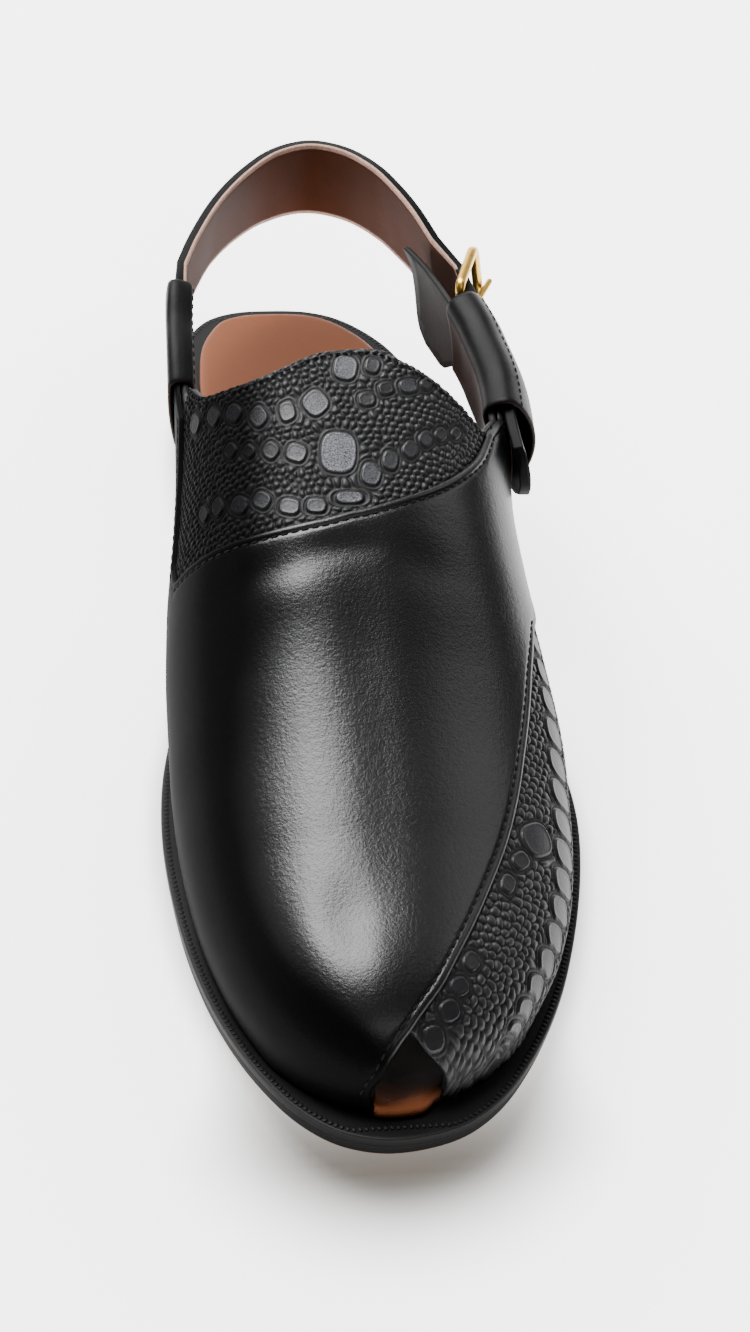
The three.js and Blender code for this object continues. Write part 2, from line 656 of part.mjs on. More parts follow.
// A cross-section of a strap as a closed loop of points. face(width, out) gives a point at a width up
// from its middle and a distance out from its middle layer.
const STRAP_COLUMNS = [-1, -0.5, 0, 0.5, 1];
function strapRow(half, face) {
  const outer = STRAP_COLUMNS.map((w) => face(w * half, HALF_LEATHER));
  const inner = STRAP_COLUMNS.map((w) => face(w * half, -HALF_LEATHER)).reverse();
  return [...outer, ...inner];
}
const onEar = (side, share, offset, wide = 1) => strapRow(HALF_EAR * wide,
  (width, out) => earPoint(side, share, width + HALF_EAR * (1 - wide), offset + out));
const onBuckle = (reach, offset) => strapRow(HALF_EAR, (width, out) => buckle.bar.clone()
  .addScaledVector(buckle.reach, reach).addScaledVector(buckle.up, width)
  .addScaledVector(buckle.outward, offset + out));

// The strap's free run round the heel, from its top edge down. turn: 0 at the medial side, 1 at the buckle.
const strapLine = new THREE.CatmullRomCurve3(STRAP_LINE.map((row) => new THREE.Vector3(
  row.across * STRAP_SPREAD, row.back * HEEL_SEAT, row.top * STRAP_TOP)), false, "centripetal");
function onLoop(turn) {
  const place = turn * (STRAP_LINE.length - 1);
  const index = Math.min(Math.floor(place), STRAP_LINE.length - 2);
  const value = (key) => mix(STRAP_LINE[index][key], STRAP_LINE[index + 1][key], place - index);
  const tangent = strapLine.getTangent(turn);
  const outward = new THREE.Vector3(-tangent.y, tangent.x, 0).normalize();
  const up = new THREE.Vector3(0, 0, 1).addScaledVector(outward, -STRAP_LEAN * value("lean")).normalize();
  const half = (value("wide") * STRAP_WIDTH) / 2;
  const centre = strapLine.getPoint(turn).addScaledVector(up, -half).addScaledVector(outward, -HALF_LEATHER);
  return strapRow(half, (width, out) => centre.clone().addScaledVector(up, width)
    .addScaledVector(outward, out));
}

// The heel strap: from inside the medial loop round the heel, through the buckle and down over the ear
const EAR_CENTRE = WALL_INNER / 2;
const RUN_OVER = CLEARANCE + HALF_LEATHER;
const STRAP_STEPS = 30;
function heelStrap() {
  const rows = [MEDIAL_EAR_END - (CLEARANCE * 2) / SOLE_LENGTH, mix(MEDIAL_EAR_END, MEDIAL_LOOP_FROM, 0.5),
    MEDIAL_LOOP_FROM].map((share) => onEar("medial", share, EAR_CENTRE));
  for (let i = 0; i <= STRAP_STEPS; i += 1) rows.push(onLoop(i / STRAP_STEPS));
  const over = HALF_WIRE + RUN_OVER + CLEARANCE / 2;
  const under = -HALF_WIRE - RUN_OVER - STRAP_STANDOFF;
  for (const share of [0.67, 0.33, 0]) rows.push(onBuckle(buckle.length * share, mix(over, under, share)));
  const run = Array.from({ length: 6 }, (_, i) => mix(LATERAL_LOOP_FROM, LATERAL_LOOP_TO, i / 5));
  for (const share of run) rows.push(onEar("lateral", share, RUN_OVER));
  const end = (share, wide, spring) =>
    rows.push(onEar("lateral", mix(LATERAL_LOOP_TO, STRAP_TIP, share), RUN_OVER + TIP_SPRING * spring, wide));
  end(0.5, 0.95, 0.35);
  end(0.88, 0.78, 0.85);
  end(1, 0.56, 1);
  return loft(rows, fillStrip);
}

// A leather loop round an ear. inside and outside: the offsets of its contents' faces.
const LOOP_STEPS = 6;
function leatherLoop(side, from, to, inside, outside) {
  const ring = (grow) => {
    const [w, low, high, radius] = [HALF_EAR + grow, inside - grow, outside + grow, grow];
    const between = STRAP_COLUMNS.slice(1, -1).map((share) => share * HALF_EAR);
    const shape = new THREE.Shape();
    shape.moveTo(-w + radius, low);
    for (const x of between) shape.lineTo(x, low);
    shape.lineTo(w - radius, low);
    shape.quadraticCurveTo(w, low, w, low + radius);
    shape.lineTo(w, high - radius);
    shape.quadraticCurveTo(w, high, w - radius, high);
    for (const x of between.reverse()) shape.lineTo(x, high);
    shape.lineTo(-w + radius, high);
    shape.quadraticCurveTo(-w, high, -w, high - radius);
    shape.lineTo(-w, low + radius);
    shape.quadraticCurveTo(-w, low, -w + radius, low);
    return shape.getPoints(2).slice(0, -1);
  };
  const [bore, skin] = [ring(LOOP_CLEARANCE), ring(LOOP_CLEARANCE + LOOP_LEATHER)];
  const place = (loop, share) => loop.map((p) => earPoint(side, share, p.x, p.y));
  const shares = Array.from({ length: LOOP_STEPS + 1 }, (_, i) => mix(from, to, i / LOOP_STEPS));
  const rings = [...shares.map((share) => place(skin, share)),
    ...shares.map((share) => place(bore, share)).reverse()];
  const count = skin.length;
  const triangles = [];
  rings.forEach((_, i) => {
    const next = (i + 1) % rings.length;
    for (let j = 0; j < count; j += 1) {
      const k = (j + 1) % count;
      const [a, b, c, d] = [i * count + j, i * count + k, next * count + k, next * count + j];
      if (side === "lateral") triangles.push([a, c, b], [a, d, c]);
      else triangles.push([a, b, c], [a, c, d]);
    }
  });
  return solid(rings.flat(), triangles);
}

function buckleFrame() {
  const inner = { across: HALF_EAR + CLEARANCE * 2, reach: buckle.length / 2 - HALF_WIRE };
  const box = (grow, radius) => {
    const [w, h] = [inner.reach + grow, inner.across + grow];
    const shape = new THREE.Shape();
    shape.moveTo(-w + radius, -h);
    shape.lineTo(w - radius, -h);
    shape.absarc(w - radius, -h + radius, radius, -Math.PI / 2, 0, false);
    shape.lineTo(w, h - radius);
    shape.absarc(w - radius, h - radius, radius, 0, Math.PI / 2, false);
    shape.lineTo(-w + radius, h);
    shape.absarc(-w + radius, h - radius, radius, Math.PI / 2, Math.PI, false);
    shape.lineTo(-w, -h + radius);
    shape.absarc(-w + radius, -h + radius, radius, Math.PI, Math.PI * 1.5, false);
    return shape;
  };
  const bevel = BUCKLE_WIRE * 0.28;
  const shape = box(BUCKLE_WIRE - bevel, 3);
  shape.holes.push(new THREE.Path(box(bevel, 1.2).getPoints(4)));
  const geometry = new THREE.ExtrudeGeometry(shape, {
    depth: BUCKLE_WIRE - 2 * bevel, bevelThickness: bevel, bevelSize: bevel, bevelSegments: 2, curveSegments: 4,
  });
  geometry.translate(0, 0, -(BUCKLE_WIRE - 2 * bevel) / 2);
  const middle = buckle.bar.clone().addScaledVector(buckle.reach, buckle.length / 2);
  const turn = new THREE.Matrix4().makeBasis(buckle.reach, buckle.up,
    new THREE.Vector3().crossVectors(buckle.reach, buckle.up));
  geometry.applyMatrix4(turn.setPosition(middle));
  return toGeometry(toManifold(geometry));
}

// The prong leaves the bar, passes through the strap and rests on the far side of the frame
const prongLine = (() => {
  const { outward } = buckle;
  const root = buckle.bar.clone().addScaledVector(buckle.reach, HALF_WIRE + CLEARANCE + PRONG_WIRE / 2);
  const rest = buckle.bar.clone().addScaledVector(buckle.reach, buckle.length)
    .addScaledVector(outward, HALF_WIRE + CLEARANCE + PRONG_WIRE / 2);
  const tip = rest.clone().add(rest.clone().sub(root).normalize().multiplyScalar(PRONG_WIRE * 1.2));
  return { root, tip };
})();
function rod(from, to, radius) {
  const geometry = new THREE.CapsuleGeometry(radius, from.distanceTo(to), 3, 10);
  const axis = to.clone().sub(from).normalize();
  geometry.applyQuaternion(new THREE.Quaternion().setFromUnitVectors(new THREE.Vector3(0, 1, 0), axis));
  const middle = from.clone().lerp(to, 0.5);
  return toManifold(geometry.translate(middle.x, middle.y, middle.z));
}
const buckleProng = () => toGeometry(rod(prongLine.root, prongLine.tip, PRONG_WIRE / 2));
const strapWithHole = () => withoutSlivers(toGeometry(
  toManifold(heelStrap()).subtract(rod(prongLine.root, prongLine.tip, PRONG_WIRE / 2 + CLEARANCE))));

const leather = (color, roughness) => new THREE.MeshStandardMaterial({ color, roughness, metalness: 0 });
const brass = new THREE.MeshStandardMaterial({ color: 0xd9b25a, roughness: 0.3, metalness: 1 });

const model = new THREE.Group();
function add(name, geometry, material) {
  const mesh = new THREE.Mesh(geometry, material);
  mesh.name = name;
  model.add(mesh);
}
add("outsole", outsole(), leather(0x2a2b2d, 0.5));
add("heel", heel(), leather(0x1d1d1f, 0.5));
add("welt", welt(), leather(0x17181a, 0.45));
add("insole", insole(), leather(0xa5643f, 0.6));
add("upper", upper(), leather(0x2a2b2e, 0.55));
add("vamp", vamp(), leather(0x121214, 0.3));
add("heel_strap", strapWithHole(), leather(0x18191b, 0.45));
add("medial_loop", leatherLoop("medial", MEDIAL_LOOP_FROM, MEDIAL_LOOP_TO, WALL_INNER, 0), leather(0x161719, 0.4));
add("lateral_loop", leatherLoop("lateral", LATERAL_LOOP_FROM, LATERAL_LOOP_TO, WALL_INNER,
  CLEARANCE + STRAP_LEATHER), leather(0x161719, 0.4));
add("buckle_frame", buckleFrame(), brass);
add("buckle_prong", buckleProng(), brass);

export default model;
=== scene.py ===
# A man's left peshawari chappal dressed for its picture: lasted leather, embossed panels, stitches, a
# buckled heel strap and a built-up sole. The shapes are worked out in millimetres on the same last as
# the frame's solids.
import math

import bpy
import numpy as np
from mathutils import Matrix, Vector
from mathutils.geometry import delaunay_2d_cdt
from mathutils.kdtree import KDTree


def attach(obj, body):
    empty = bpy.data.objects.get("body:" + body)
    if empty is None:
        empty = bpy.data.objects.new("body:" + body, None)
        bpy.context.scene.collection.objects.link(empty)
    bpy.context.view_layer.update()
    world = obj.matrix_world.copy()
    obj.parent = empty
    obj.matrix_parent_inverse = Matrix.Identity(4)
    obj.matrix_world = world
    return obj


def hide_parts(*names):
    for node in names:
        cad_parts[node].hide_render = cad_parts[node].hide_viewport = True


bl_info = {
    "name": "Peshawari chappal",
    "version": (1, 0, 0),
    "blender": (4, 5, 0),
    "location": "View3D > Sidebar > Chappal",
    "description": "Dresses the frame of a leather chappal with lasted leather, stitches and brass",
    "category": "Object",
}

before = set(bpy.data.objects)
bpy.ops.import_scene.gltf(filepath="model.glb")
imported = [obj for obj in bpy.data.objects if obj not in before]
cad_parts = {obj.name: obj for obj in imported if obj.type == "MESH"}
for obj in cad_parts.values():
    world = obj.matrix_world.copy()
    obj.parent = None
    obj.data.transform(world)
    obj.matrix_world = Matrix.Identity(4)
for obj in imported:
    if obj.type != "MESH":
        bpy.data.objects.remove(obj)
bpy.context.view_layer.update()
MM = 0.001

# Sizes of the shoe in millimetres
SOLE_LENGTH = 290.0
BALL_WIDTH = 106.0
HEEL_SEAT = 36.0
HEEL_HEIGHT = 22.0
HEEL_LENGTH = 68.0
HEEL_TAPER = 1.6
HEEL_TOP_PIECE = 5.5
HEEL_LIFTS = 6
TOE_SPRING = 8.0
OUTSOLE = 3.6
WELT = 2.6
INSOLE = 3.6
CLEARANCE = 0.3
WELT_SHELF = 3.4
EDGE_ROUND = 0.5
BREAST_HOLLOW = 4.0
INSTEP = 76.0
STRAP_WIDTH = 26.0
EAR_WIDTH = 22.0
STRAP_LEATHER = 3.0
STRAP_LEAN = 0.17
STRAP_TOP = 88.5
STRAP_SPREAD = 40.0
STRAP_STANDOFF = 3.2
TIP_SPRING = 2.0
LOOP_LEATHER = 1.1
LOOP_CLEARANCE = 0.6
LOOP_ROUND = 1.3
BUCKLE_WIRE = 2.4
BUCKLE_REACH = 17.0
BUCKLE_STANDOFF = 6.5
PRONG_WIRE = 2.0
PRONG_PAST, PRONG_TIP = 1.2, 0.88
SOLE = OUTSOLE + CLEARANCE + WELT
HALF_EAR = EAR_WIDTH / 2
VAMP_INNER = -1.3
WALL_FACE = -1.85
WALL_OUTER = -1.6
WALL_INNER = -3.6

# Leather layers as offsets from the last, and the fine work on them, in millimetres
GROOVE, SCALE_TOP = -1.62, -0.95
UNDER_VAMP = -1.36
SKIN_INNER = -1.8
PLATE_SQUARE = 2.8
PLATE_TOP, PLATE_DISH = 1.15, 0.2
RING_GAP = 0.8
RING_PLACE, RING_WIDTH, RING_HEIGHT = RING_GAP * 0.62, 0.24, 0.66
LARGEST_PLATE = 4.4
SCATTER, KEEP_OUT = 0.16, 1.06
GROOVE_GAP = (0.06, 0.95)
DOME_REACH, DOME_FALL = 1.6, 0.22
FLAP_SCALES, FLAP_SEED = (2.05, 1.8), 11
PANEL_SCALES, PANEL_SEED = (2.4, 2.35), 23
KEEPER_CROWN = 2.6
FRAME_SWELL = 1.12
FRAME_ROUND = 2.6
HEM_FADE = (2.6, 6)
STITCH_DEPTH = 2.2
STITCH_LIFT = -0.12
STITCH, FINE_STITCH = (0.62, 0.5), (0.55, 0.4)
COLLAR_STITCH = (1.9, 1.5, 0.6, 0.45)
LOOP_STITCH_INSET, LOOP_STITCH_END, LOOP_STITCH_POINTS = 0.9, 0.006, 60
COLLAR_DEPTH = 1.5
EDGE_REACH = 0.8
SHORTEST_LINE = 6
SOLE_TUCK = 0.8
RIB_INSET = 1.35
RIB = (1.0, 1.4, 0.18)
HEEL_LIP = 0.5

# Counts and steps of the meshes
CHUNK = 1500
FOOT_GIRTH = 0.995
EDGE_GIRTH = 0.9999
FACE_STEP = 0.012
RING_STEP = 0.004
RING_KEPT, RING_SLACK = 0.93, 0.02
GRID_ROW, GRID_CLEAR = 0.866, 0.6
SCALE_ROW = 0.9
SOLE_COLUMNS = 14
STRAP_STEPS = 110
LOOP_EDGE_STEPS = (0.2, 0.4, 0.6, 0.8)
INKED_ROWS = 34
TIP_ROWS = 5
LEATHER_DEPTHS = (0.15, 0.4, 0.75)
WALL_DEPTHS = (0.15, 0.4, 0.8, 1.4)

# Painted light and shade: how far the leather turns away before a dark matt shader paints shade on it, where
# the insole is lit at the toe before painted shade darkens it, the floor's tone in its painted shadow, its
# glow, and how dark and wide its painted shadow is close to the sole (behind, in front) and far from it
TOE_SHARE, OUTER_PAINTED_SHADE = 0.9, 0.42
INNER_SHADE, OUTER_SHADE = (0.56, 0.84), (0.5, 0.9)
TOE_LIGHT = (-246.5, -239.0)
FLOOR_SHADE = (0.035, 0.029, 0.021)
FLOOR_GLOW = 3.8
CLOSE_DARK, CLOSE_REACH = (0.6, 0.97), (5.0, 20.0)
WIDE_DARK, WIDE_REACH = 0.14, 55.0
# Painted glint: how many times lighter than the scale tops the specks on the larger plates are painted
PAINTED_GLINT = 20.0
LOOP_BORE_TONE = 0.12
# The dark matt shader that paints shade where the leather turns from the light
SHADE_PAINT_TONE, SHADE_PAINT_ROUGHNESS, SHADE_PAINT_SPECULAR = 0.4, 0.7, 0.02

# The camera as it was fitted to the photograph, in millimetres and pixels
CAMERA_PLACE = (-64.919, -516.406, 412.085)
CAMERA_RIGHT = (0.99939083, -0.0348995, 0.0)
CAMERA_UP = (0.0214829, 0.61518968, 0.78808638)
CAMERA_FORWARD = (0.02750382, 0.7876063, -0.61556467)
PHOTO_LENS_PIXELS = 1500.0
PHOTO_CENTRE = (375.0, 666.0)
SHOE_CENTRE = (535.0, 824.0)

# Soft lights: name, place, target, width, height, watts
SOFTBOXES = (
    ("key_softbox", (-0.385, 0.42, 1.25), (-0.02, -0.1, 0.03), 0.58, 0.95, 50.0),
    ("left_softbox", (-1.5, 0.15, 0.75), (0.0, -0.1, 0.03), 0.3, 0.9, 3.0),
    ("right_softbox", (1.1, 0.35, 1.3), (0.0, -0.1, 0.03), 0.7, 0.9, 5.0),
    ("front_softbox", (0.2, -1.5, 1.9), (0.0, -0.1, 0.03), 1.4, 0.8, 6.0),
)

# Sole outline: share of the length, half widths as shares of the ball width
OUTLINE = (
    (0.004, 0.175, 0.055), (0.02, 0.257, 0.143), (0.065, 0.325, 0.25), (0.124, 0.347, 0.31),
    (0.2, 0.343, 0.333), (0.3, 0.32, 0.344), (0.42, 0.345, 0.399), (0.52, 0.405, 0.474),
    (0.6, 0.446, 0.529), (0.66, 0.455, 0.537), (0.72, 0.445, 0.516), (0.79, 0.415, 0.468),
    (0.86, 0.362, 0.398), (0.92, 0.29, 0.31), (0.965, 0.208, 0.215), (0.99, 0.125, 0.118),
)
HEEL_SKEW = -0.047
TOE_SKEW = -0.022
SPRING_START, SPRING_POWER = 0.779, 1.8
ARCH_START, ARCH_END = 0.531, 0.2

# Sections of the last: along, medial, lateral, medial wide, lateral wide, ridge, height, square
SECTIONS = (
    (0.0966, 0.316, 0.283, 0.5, 0.237, 0, 0.914, 2.6),
    (0.152, 0.35, 0.35, 0.55, 0.25, 0.005, 0.941, 2.7),
    (0.21, 0.376, 0.394, 0.58, 0.263, 0.009, 0.968, 2.8),
    (0.262, 0.38, 0.426, 0.585, 0.303, 0.019, 0.994, 2.9),
    (0.331, 0.384, 0.448, 0.53, 0.395, 0.019, 1, 3),
    (0.383, 0.388, 0.443, 0.48, 0.447, 0.019, 1, 2.9),
    (0.434, 0.401, 0.439, 0.43, 0.421, 0.014, 0.98, 2.7),
    (0.503, 0.425, 0.458, 0.345, 0.342, 0.009, 0.915, 2.5),
    (0.572, 0.434, 0.486, 0.25, 0.25, 0, 0.796, 2.35),
    (0.641, 0.434, 0.502, 0.184, 0.184, -0.009, 0.678, 2.25),
    (0.71, 0.425, 0.49, 0.145, 0.145, -0.014, 0.586, 2.2),
    (0.779, 0.401, 0.462, 0.132, 0.132, -0.019, 0.513, 2.2),
    (0.848, 0.354, 0.401, 0.118, 0.118, -0.024, 0.448, 2.2),
    (0.9, 0.292, 0.316, 0.105, 0.105, -0.024, 0.386, 2.2),
    (0.938, 0.217, 0.226, 0.079, 0.079, -0.024, 0.31, 2.2),
    (0.962, 0.137, 0.132, 0.053, 0.053, -0.024, 0.215, 2.2),
    (0.9776, 0.038, 0.028, 0.026, 0.026, -0.024, 0.078, 2.2),
)
SHOULDER = 0.62

# Pattern lines as (along, girth). girth: -1 at the sole's medial side, 0 at the ridge, 1 at the lateral.
MEDIAL_BACK = ((0.43, -1), (0.412, -0.93), (0.385, -0.85), (0.345, -0.8))
COLLAR = (
    (0.341, -0.465), (0.367, -0.385), (0.381, -0.3), (0.389, -0.2), (0.387, -0.11), (0.376, -0.03),
    (0.373, 0.025), (0.384, 0.075), (0.395, 0.14), (0.404, 0.2), (0.412, 0.27), (0.414, 0.325),
    (0.397, 0.375),
)
VAMP_WING = ((0.356, -0.51), (0.4, -0.537), (0.475, -0.54))
VAMP_THROAT = (
    (0.5, -0.49), (0.512, -0.36), (0.523, -0.2), (0.524, -0.08), (0.517, 0), (0.49, 0.142),
    (0.45, 0.27), (0.412, 0.34),
)
VAMP_UNDER = ((0.43, 0.625), (0.5, 0.545), (0.548, 0.47))
VAMP_SIDE = (
    (0.569, 0.418), (0.621, 0.358), (0.683, 0.32), (0.734, 0.29), (0.779, 0.26), (0.841, 0.21),
    (0.893, 0.163), (0.92, 0.13), (0.948, 0.062),
)
PANEL_BACK = ((0.535, 0.51), (0.514, 0.6), (0.49, 0.74), (0.47, 0.9), (0.465, 1))
TOE_LATERAL = ((0.969, 1), (0.969, 0.78), (0.967, 0.5), (0.963, 0.26), (0.957, 0.14), (0.948, 0.062))
TOE_MEDIAL = ((0.96, 0.01), (0.966, -0.04), (0.97, -0.14), (0.972, -0.35), (0.974, -0.7), (0.974, -1))
MEDIAL_EAR = ((0.1, -0.62), (0.207, -0.638), (0.255, -0.675), (0.31, -0.675), (0.34, -0.655))
LATERAL_EAR = ((0.1, 0.475), (0.21, 0.489), (0.29, 0.52), (0.369, 0.54), (0.43, 0.525))
FLAP_END = ((0.129, 0.43), (0.133, 0.57), (0.152, 0.62), (0.186, 0.64))
FLAP_UNDER = (
    (0.418, 0.4), (0.46, 0.33), (0.505, 0.2), (0.545, 0.06), (0.553, -0.08), (0.552, -0.2),
    (0.54, -0.36), (0.527, -0.5), (0.478, -0.575), (0.4, -0.572), (0.35, -0.54),
)
PANEL_UNDER = 0.04
MEDIAL_EAR_END = 0.255
MEDIAL_LOOP = (0.205, 0.313)
LATERAL_LOOP = (0.231, 0.366)
KEEPER_SPAN = (0.2255, LATERAL_LOOP[1])
FLAP_TOP = 0.122
BUCKLE_BAR = 0.214
STRAP_TIP = 0.409
EAR_ROOT = 0.01

# Top edge of the strap: across, back, top, wide, lean
STRAP_LINE = (
    (-0.955, -0.47, 0.92, 0.82, 0.3), (-0.8625, -0.208, 0.9435, 0.8, 0.5),
    (-0.6875, 0.186, 0.972, 0.87, 0.85), (-0.4675, 0.547, 0.989, 0.95, 1),
    (-0.2175, 0.822, 1, 1, 1), (0.0575, 0.944, 1, 1, 1), (0.3125, 0.844, 1, 1, 1),
    (0.5225, 0.608, 0.994, 1, 1), (0.6575, 0.375, 0.977, 0.98, 1), (0.775, 0.125, 0.9525, 0.94, 1),
    (0.8825, -0.125, 0.913, 0.89, 1),
)

# Plates in the embossing: along, girth, width and length in millimetres, turn in degrees
FLAP_PLATES = (
    (0.392, -0.002, 6.2, 7.1, 12), (0.39, 0.021, 4.1, 4.8, 18), (0.421, 0.014, 4.7, 4.0, -6),
    (0.411, 0.042, 4.4, 3.7, -16), (0.407, 0.085, 5.4, 3.9, -19), (0.402, 0.126, 4.0, 3.0, -41),
    (0.383, -0.422, 4.6, 7.1, -38), (0.398, -0.326, 4.0, 6.5, -34), (0.41, -0.247, 3.9, 6.1, -44),
    (0.424, -0.174, 4.5, 6.0, -34), (0.427, -0.103, 4.4, 5.5, -15), (0.423, -0.045, 6.4, 6.7, -40),
    (0.44, -0.261, 3.3, 4.8, -40), (0.45, -0.204, 3.0, 4.3, -35), (0.457, -0.147, 4.1, 5.0, -42),
    (0.464, -0.09, 5.8, 4.7, 26), (0.467, -0.016, 9.1, 10.4, 6), (0.486, 0.018, 5.2, 6.0, 15),
    (0.474, 0.049, 4.3, 5.2, 14), (0.463, 0.089, 4.1, 4.8, 41), (0.451, 0.126, 3.7, 4.7, 44),
    (0.443, 0.165, 4.2, 3.1, -45), (0.436, 0.211, 2.6, 4.0, 41), (0.474, -0.358, 3.4, 5.5, -31),
    (0.48, -0.304, 3.6, 5.5, -27), (0.491, -0.234, 6.1, 4.1, 39), (0.496, -0.174, 5.6, 4.1, 39),
    (0.508, -0.112, 6.0, 4.1, 21), (0.511, -0.059, 5.6, 3.9, 10), (0.506, -0.006, 7.6, 3.3, 1),
)
PANEL_PLATES = (
    (0.772, 0.346, 10.5, 8.0, -31), (0.797, 0.296, 5.6, 4.2, -39), (0.821, 0.266, 3.8, 5.2, 27),
    (0.893, 0.205, 4.0, 4.9, 39), (0.914, 0.19, 4.9, 4.1, -27), (0.932, 0.183, 5.2, 4.3, -29),
    (0.951, 0.165, 5.4, 4.5, -15),
    (0.575, 0.438, 6.4, 5.6, -6), (0.6, 0.44, 7.4, 6.2, -6), (0.627, 0.443, 8.4, 6.9, -6),
    (0.655, 0.449, 9.4, 7.1, -6), (0.683, 0.456, 10.0, 7.1, -6), (0.711, 0.462, 10.4, 7.1, -6),
    (0.739, 0.469, 10.4, 7.1, -6), (0.767, 0.475, 10.2, 7.0, -7), (0.794, 0.478, 9.8, 6.8, -8),
    (0.82, 0.482, 9.2, 6.5, -10), (0.845, 0.487, 8.8, 6.2, -12), (0.869, 0.494, 8.4, 5.9, -14),
    (0.891, 0.506, 8.2, 5.4, -16), (0.91, 0.53, 8.4, 4.8, -18), (0.925, 0.575, 8.4, 4.2, -18),
    (0.936, 0.66, 8.0, 3.8, -16), (0.944, 0.79, 7.0, 3.4, -14),
)


def mix(a, b, t):
    return a + (b - a) * t


def ease(x, low, high):
    t = np.clip((x - low) / (high - low), 0, 1)
    return t * t * (3 - 2 * t)


def along(share):
    return HEEL_SEAT - SOLE_LENGTH * share


def share_at(y):
    return (HEEL_SEAT - y) / SOLE_LENGTH


def unit(v):
    return v / np.maximum(np.linalg.norm(v, axis=-1, keepdims=True), 1e-12)


def rise(y):
    """Height of the sole's underside: an arch up to the heel and a spring up to the toe."""
    share = share_at(np.asarray(y, float))
    spring = np.maximum(0, (share - SPRING_START) / (1 - SPRING_START))
    return TOE_SPRING * spring**SPRING_POWER + HEEL_HEIGHT * (1 - ease(share, ARCH_END, ARCH_START))


def sole_top(y):
    return rise(y) + SOLE


def smooth_column(at, value):
    """A table's column as a smooth function that never overshoots."""
    at, value = np.array(at, float), np.array(value, float)
    slope = np.diff(value) / np.diff(at)
    tangent = np.empty(len(value))
    tangent[0], tangent[-1] = slope[0], slope[-1]
    before, after = slope[:-1], slope[1:]
    same = before * after > 0
    tangent[1:-1] = np.where(same, 2 * before * after / np.where(same, before + after, 1), 0)

    def value_at(x):
        x = np.asarray(x, float)
        i = np.clip(np.searchsorted(at, x) - 1, 0, len(slope) - 1)
        step = at[i + 1] - at[i]
        t = np.clip((x - at[i]) / step, 0, 1)
        t2, t3 = t * t, t * t * t
        return ((2 * t3 - 3 * t2 + 1) * value[i] + (t3 - 2 * t2 + t) * step * tangent[i]
                + (3 * t2 - 2 * t3) * value[i + 1] + (t3 - t2) * step * tangent[i + 1])

    return value_at


def catmull(points, per_span):
    """A smooth run through points, each span cut into per_span steps."""
    p = np.array(points, float)
    padded = np.vstack([p[:1], p, p[-1:]])
    out = []
    for i in range(len(p) - 1):
        p0, p1, p2, p3 = padded[i:i + 4]
        t = (np.arange(per_span) / per_span)[:, None]
        v0, v1 = (p2 - p0) / 2, (p3 - p1) / 2
        out.append((2 * p1 - 2 * p2 + v0 + v1) * t**3 + (-3 * p1 + 3 * p2 - 2 * v0 - v1) * t**2 + v0 * t + p1)
    return np.vstack(out + [p[-1:]])


def centripetal(four):
    """The cubic between the middle two of four points, spaced by the roots of their distances."""
    p0, p1, p2, p3 = four
    d0, d1, d2 = (max(np.linalg.norm(b - a) ** 0.5, 1e-6) for a, b in ((p0, p1), (p1, p2), (p2, p3)))
    t1 = ((p1 - p0) / d0 - (p2 - p0) / (d0 + d1) + (p2 - p1) / d1) * d1
    t2 = ((p2 - p1) / d1 - (p3 - p1) / (d1 + d2) + (p3 - p2) / d2) * d1
    return p1, t1, -3 * p1 + 3 * p2 - 2 * t1 - t2, 2 * p1 - 2 * p2 + t1 + t2


def closed_curve(points, count):
    """A closed smooth curve through points."""
    p = np.array(points, float)
    out = []
    for place in len(p) * np.arange(count) / count:
        i = int(place)
        w = place - i
        c0, c1, c2, c3 = centripetal([p[(i + k) % len(p)] for k in (-1, 0, 1, 2)])
        out.append(c0 + c1 * w + c2 * w**2 + c3 * w**3)
    return np.array(out)


def open_curve(points, turns):
    """An open smooth curve through points at turns from 0 to 1, with its tangents."""
    p = np.array(points, float)
    padded = np.vstack([2 * p[0] - p[1], p, 2 * p[-1] - p[-2]])
    place, slope = [], []
    for at in turns * (len(p) - 1):
        i = min(int(at), len(p) - 2)
        w = at - i
        c0, c1, c2, c3 = centripetal(padded[i:i + 4])
        place.append(c0 + c1 * w + c2 * w**2 + c3 * w**3)
        slope.append(c1 + 2 * c2 * w + 3 * c3 * w**2)
    return np.array(place), unit(np.array(slope))


def sole_edges():
    medial = [(-m * BALL_WIDTH, along(a)) for a, m, _ in OUTLINE]
    lateral = [(w * BALL_WIDTH, along(a)) for a, _, w in OUTLINE][::-1]
    back, tip = (HEEL_SKEW * BALL_WIDTH, HEEL_SEAT), (TOE_SKEW * BALL_WIDTH, HEEL_SEAT - SOLE_LENGTH)
    curve = closed_curve([back, *medial, tip, *lateral], 1440)
    turn = int(np.argmin(curve[:, 1]))
    runs = {"medial": curve[:turn + 1], "lateral": np.vstack([curve[:1], curve[turn:][::-1]])}
    tables = {}
    for side, run in runs.items():
        falling = np.minimum.accumulate(run[:, 1])
        run = run[np.concatenate([[True], np.diff(falling) < -1e-6])]
        tangent = unit(np.gradient(run, axis=0))
        sign = 1 if side == "medial" else -1
        tables[side] = (run, np.stack([-tangent[:, 1], tangent[:, 0]], 1) * sign)
    return tables


EDGES = sole_edges()


def edge_point(side, y, inset):
    """The sole's edge at y, moved inwards by an inset."""
    run, inward = EDGES[side]
    y = np.asarray(y, float)
    at = lambda column: np.interp(-y, -run[:, 1], column)
    return np.stack([at(run[:, 0]) + at(inward[:, 0]) * inset, y + at(inward[:, 1]) * inset], -1)


SHARES = [row[0] for row in SECTIONS]
COLUMN = {name: smooth_column(SHARES, [row[i + 1] for row in SECTIONS]) for i, name in enumerate(
    ("medial", "lateral", "medial_wide", "lateral_wide", "ridge", "height", "square"))}


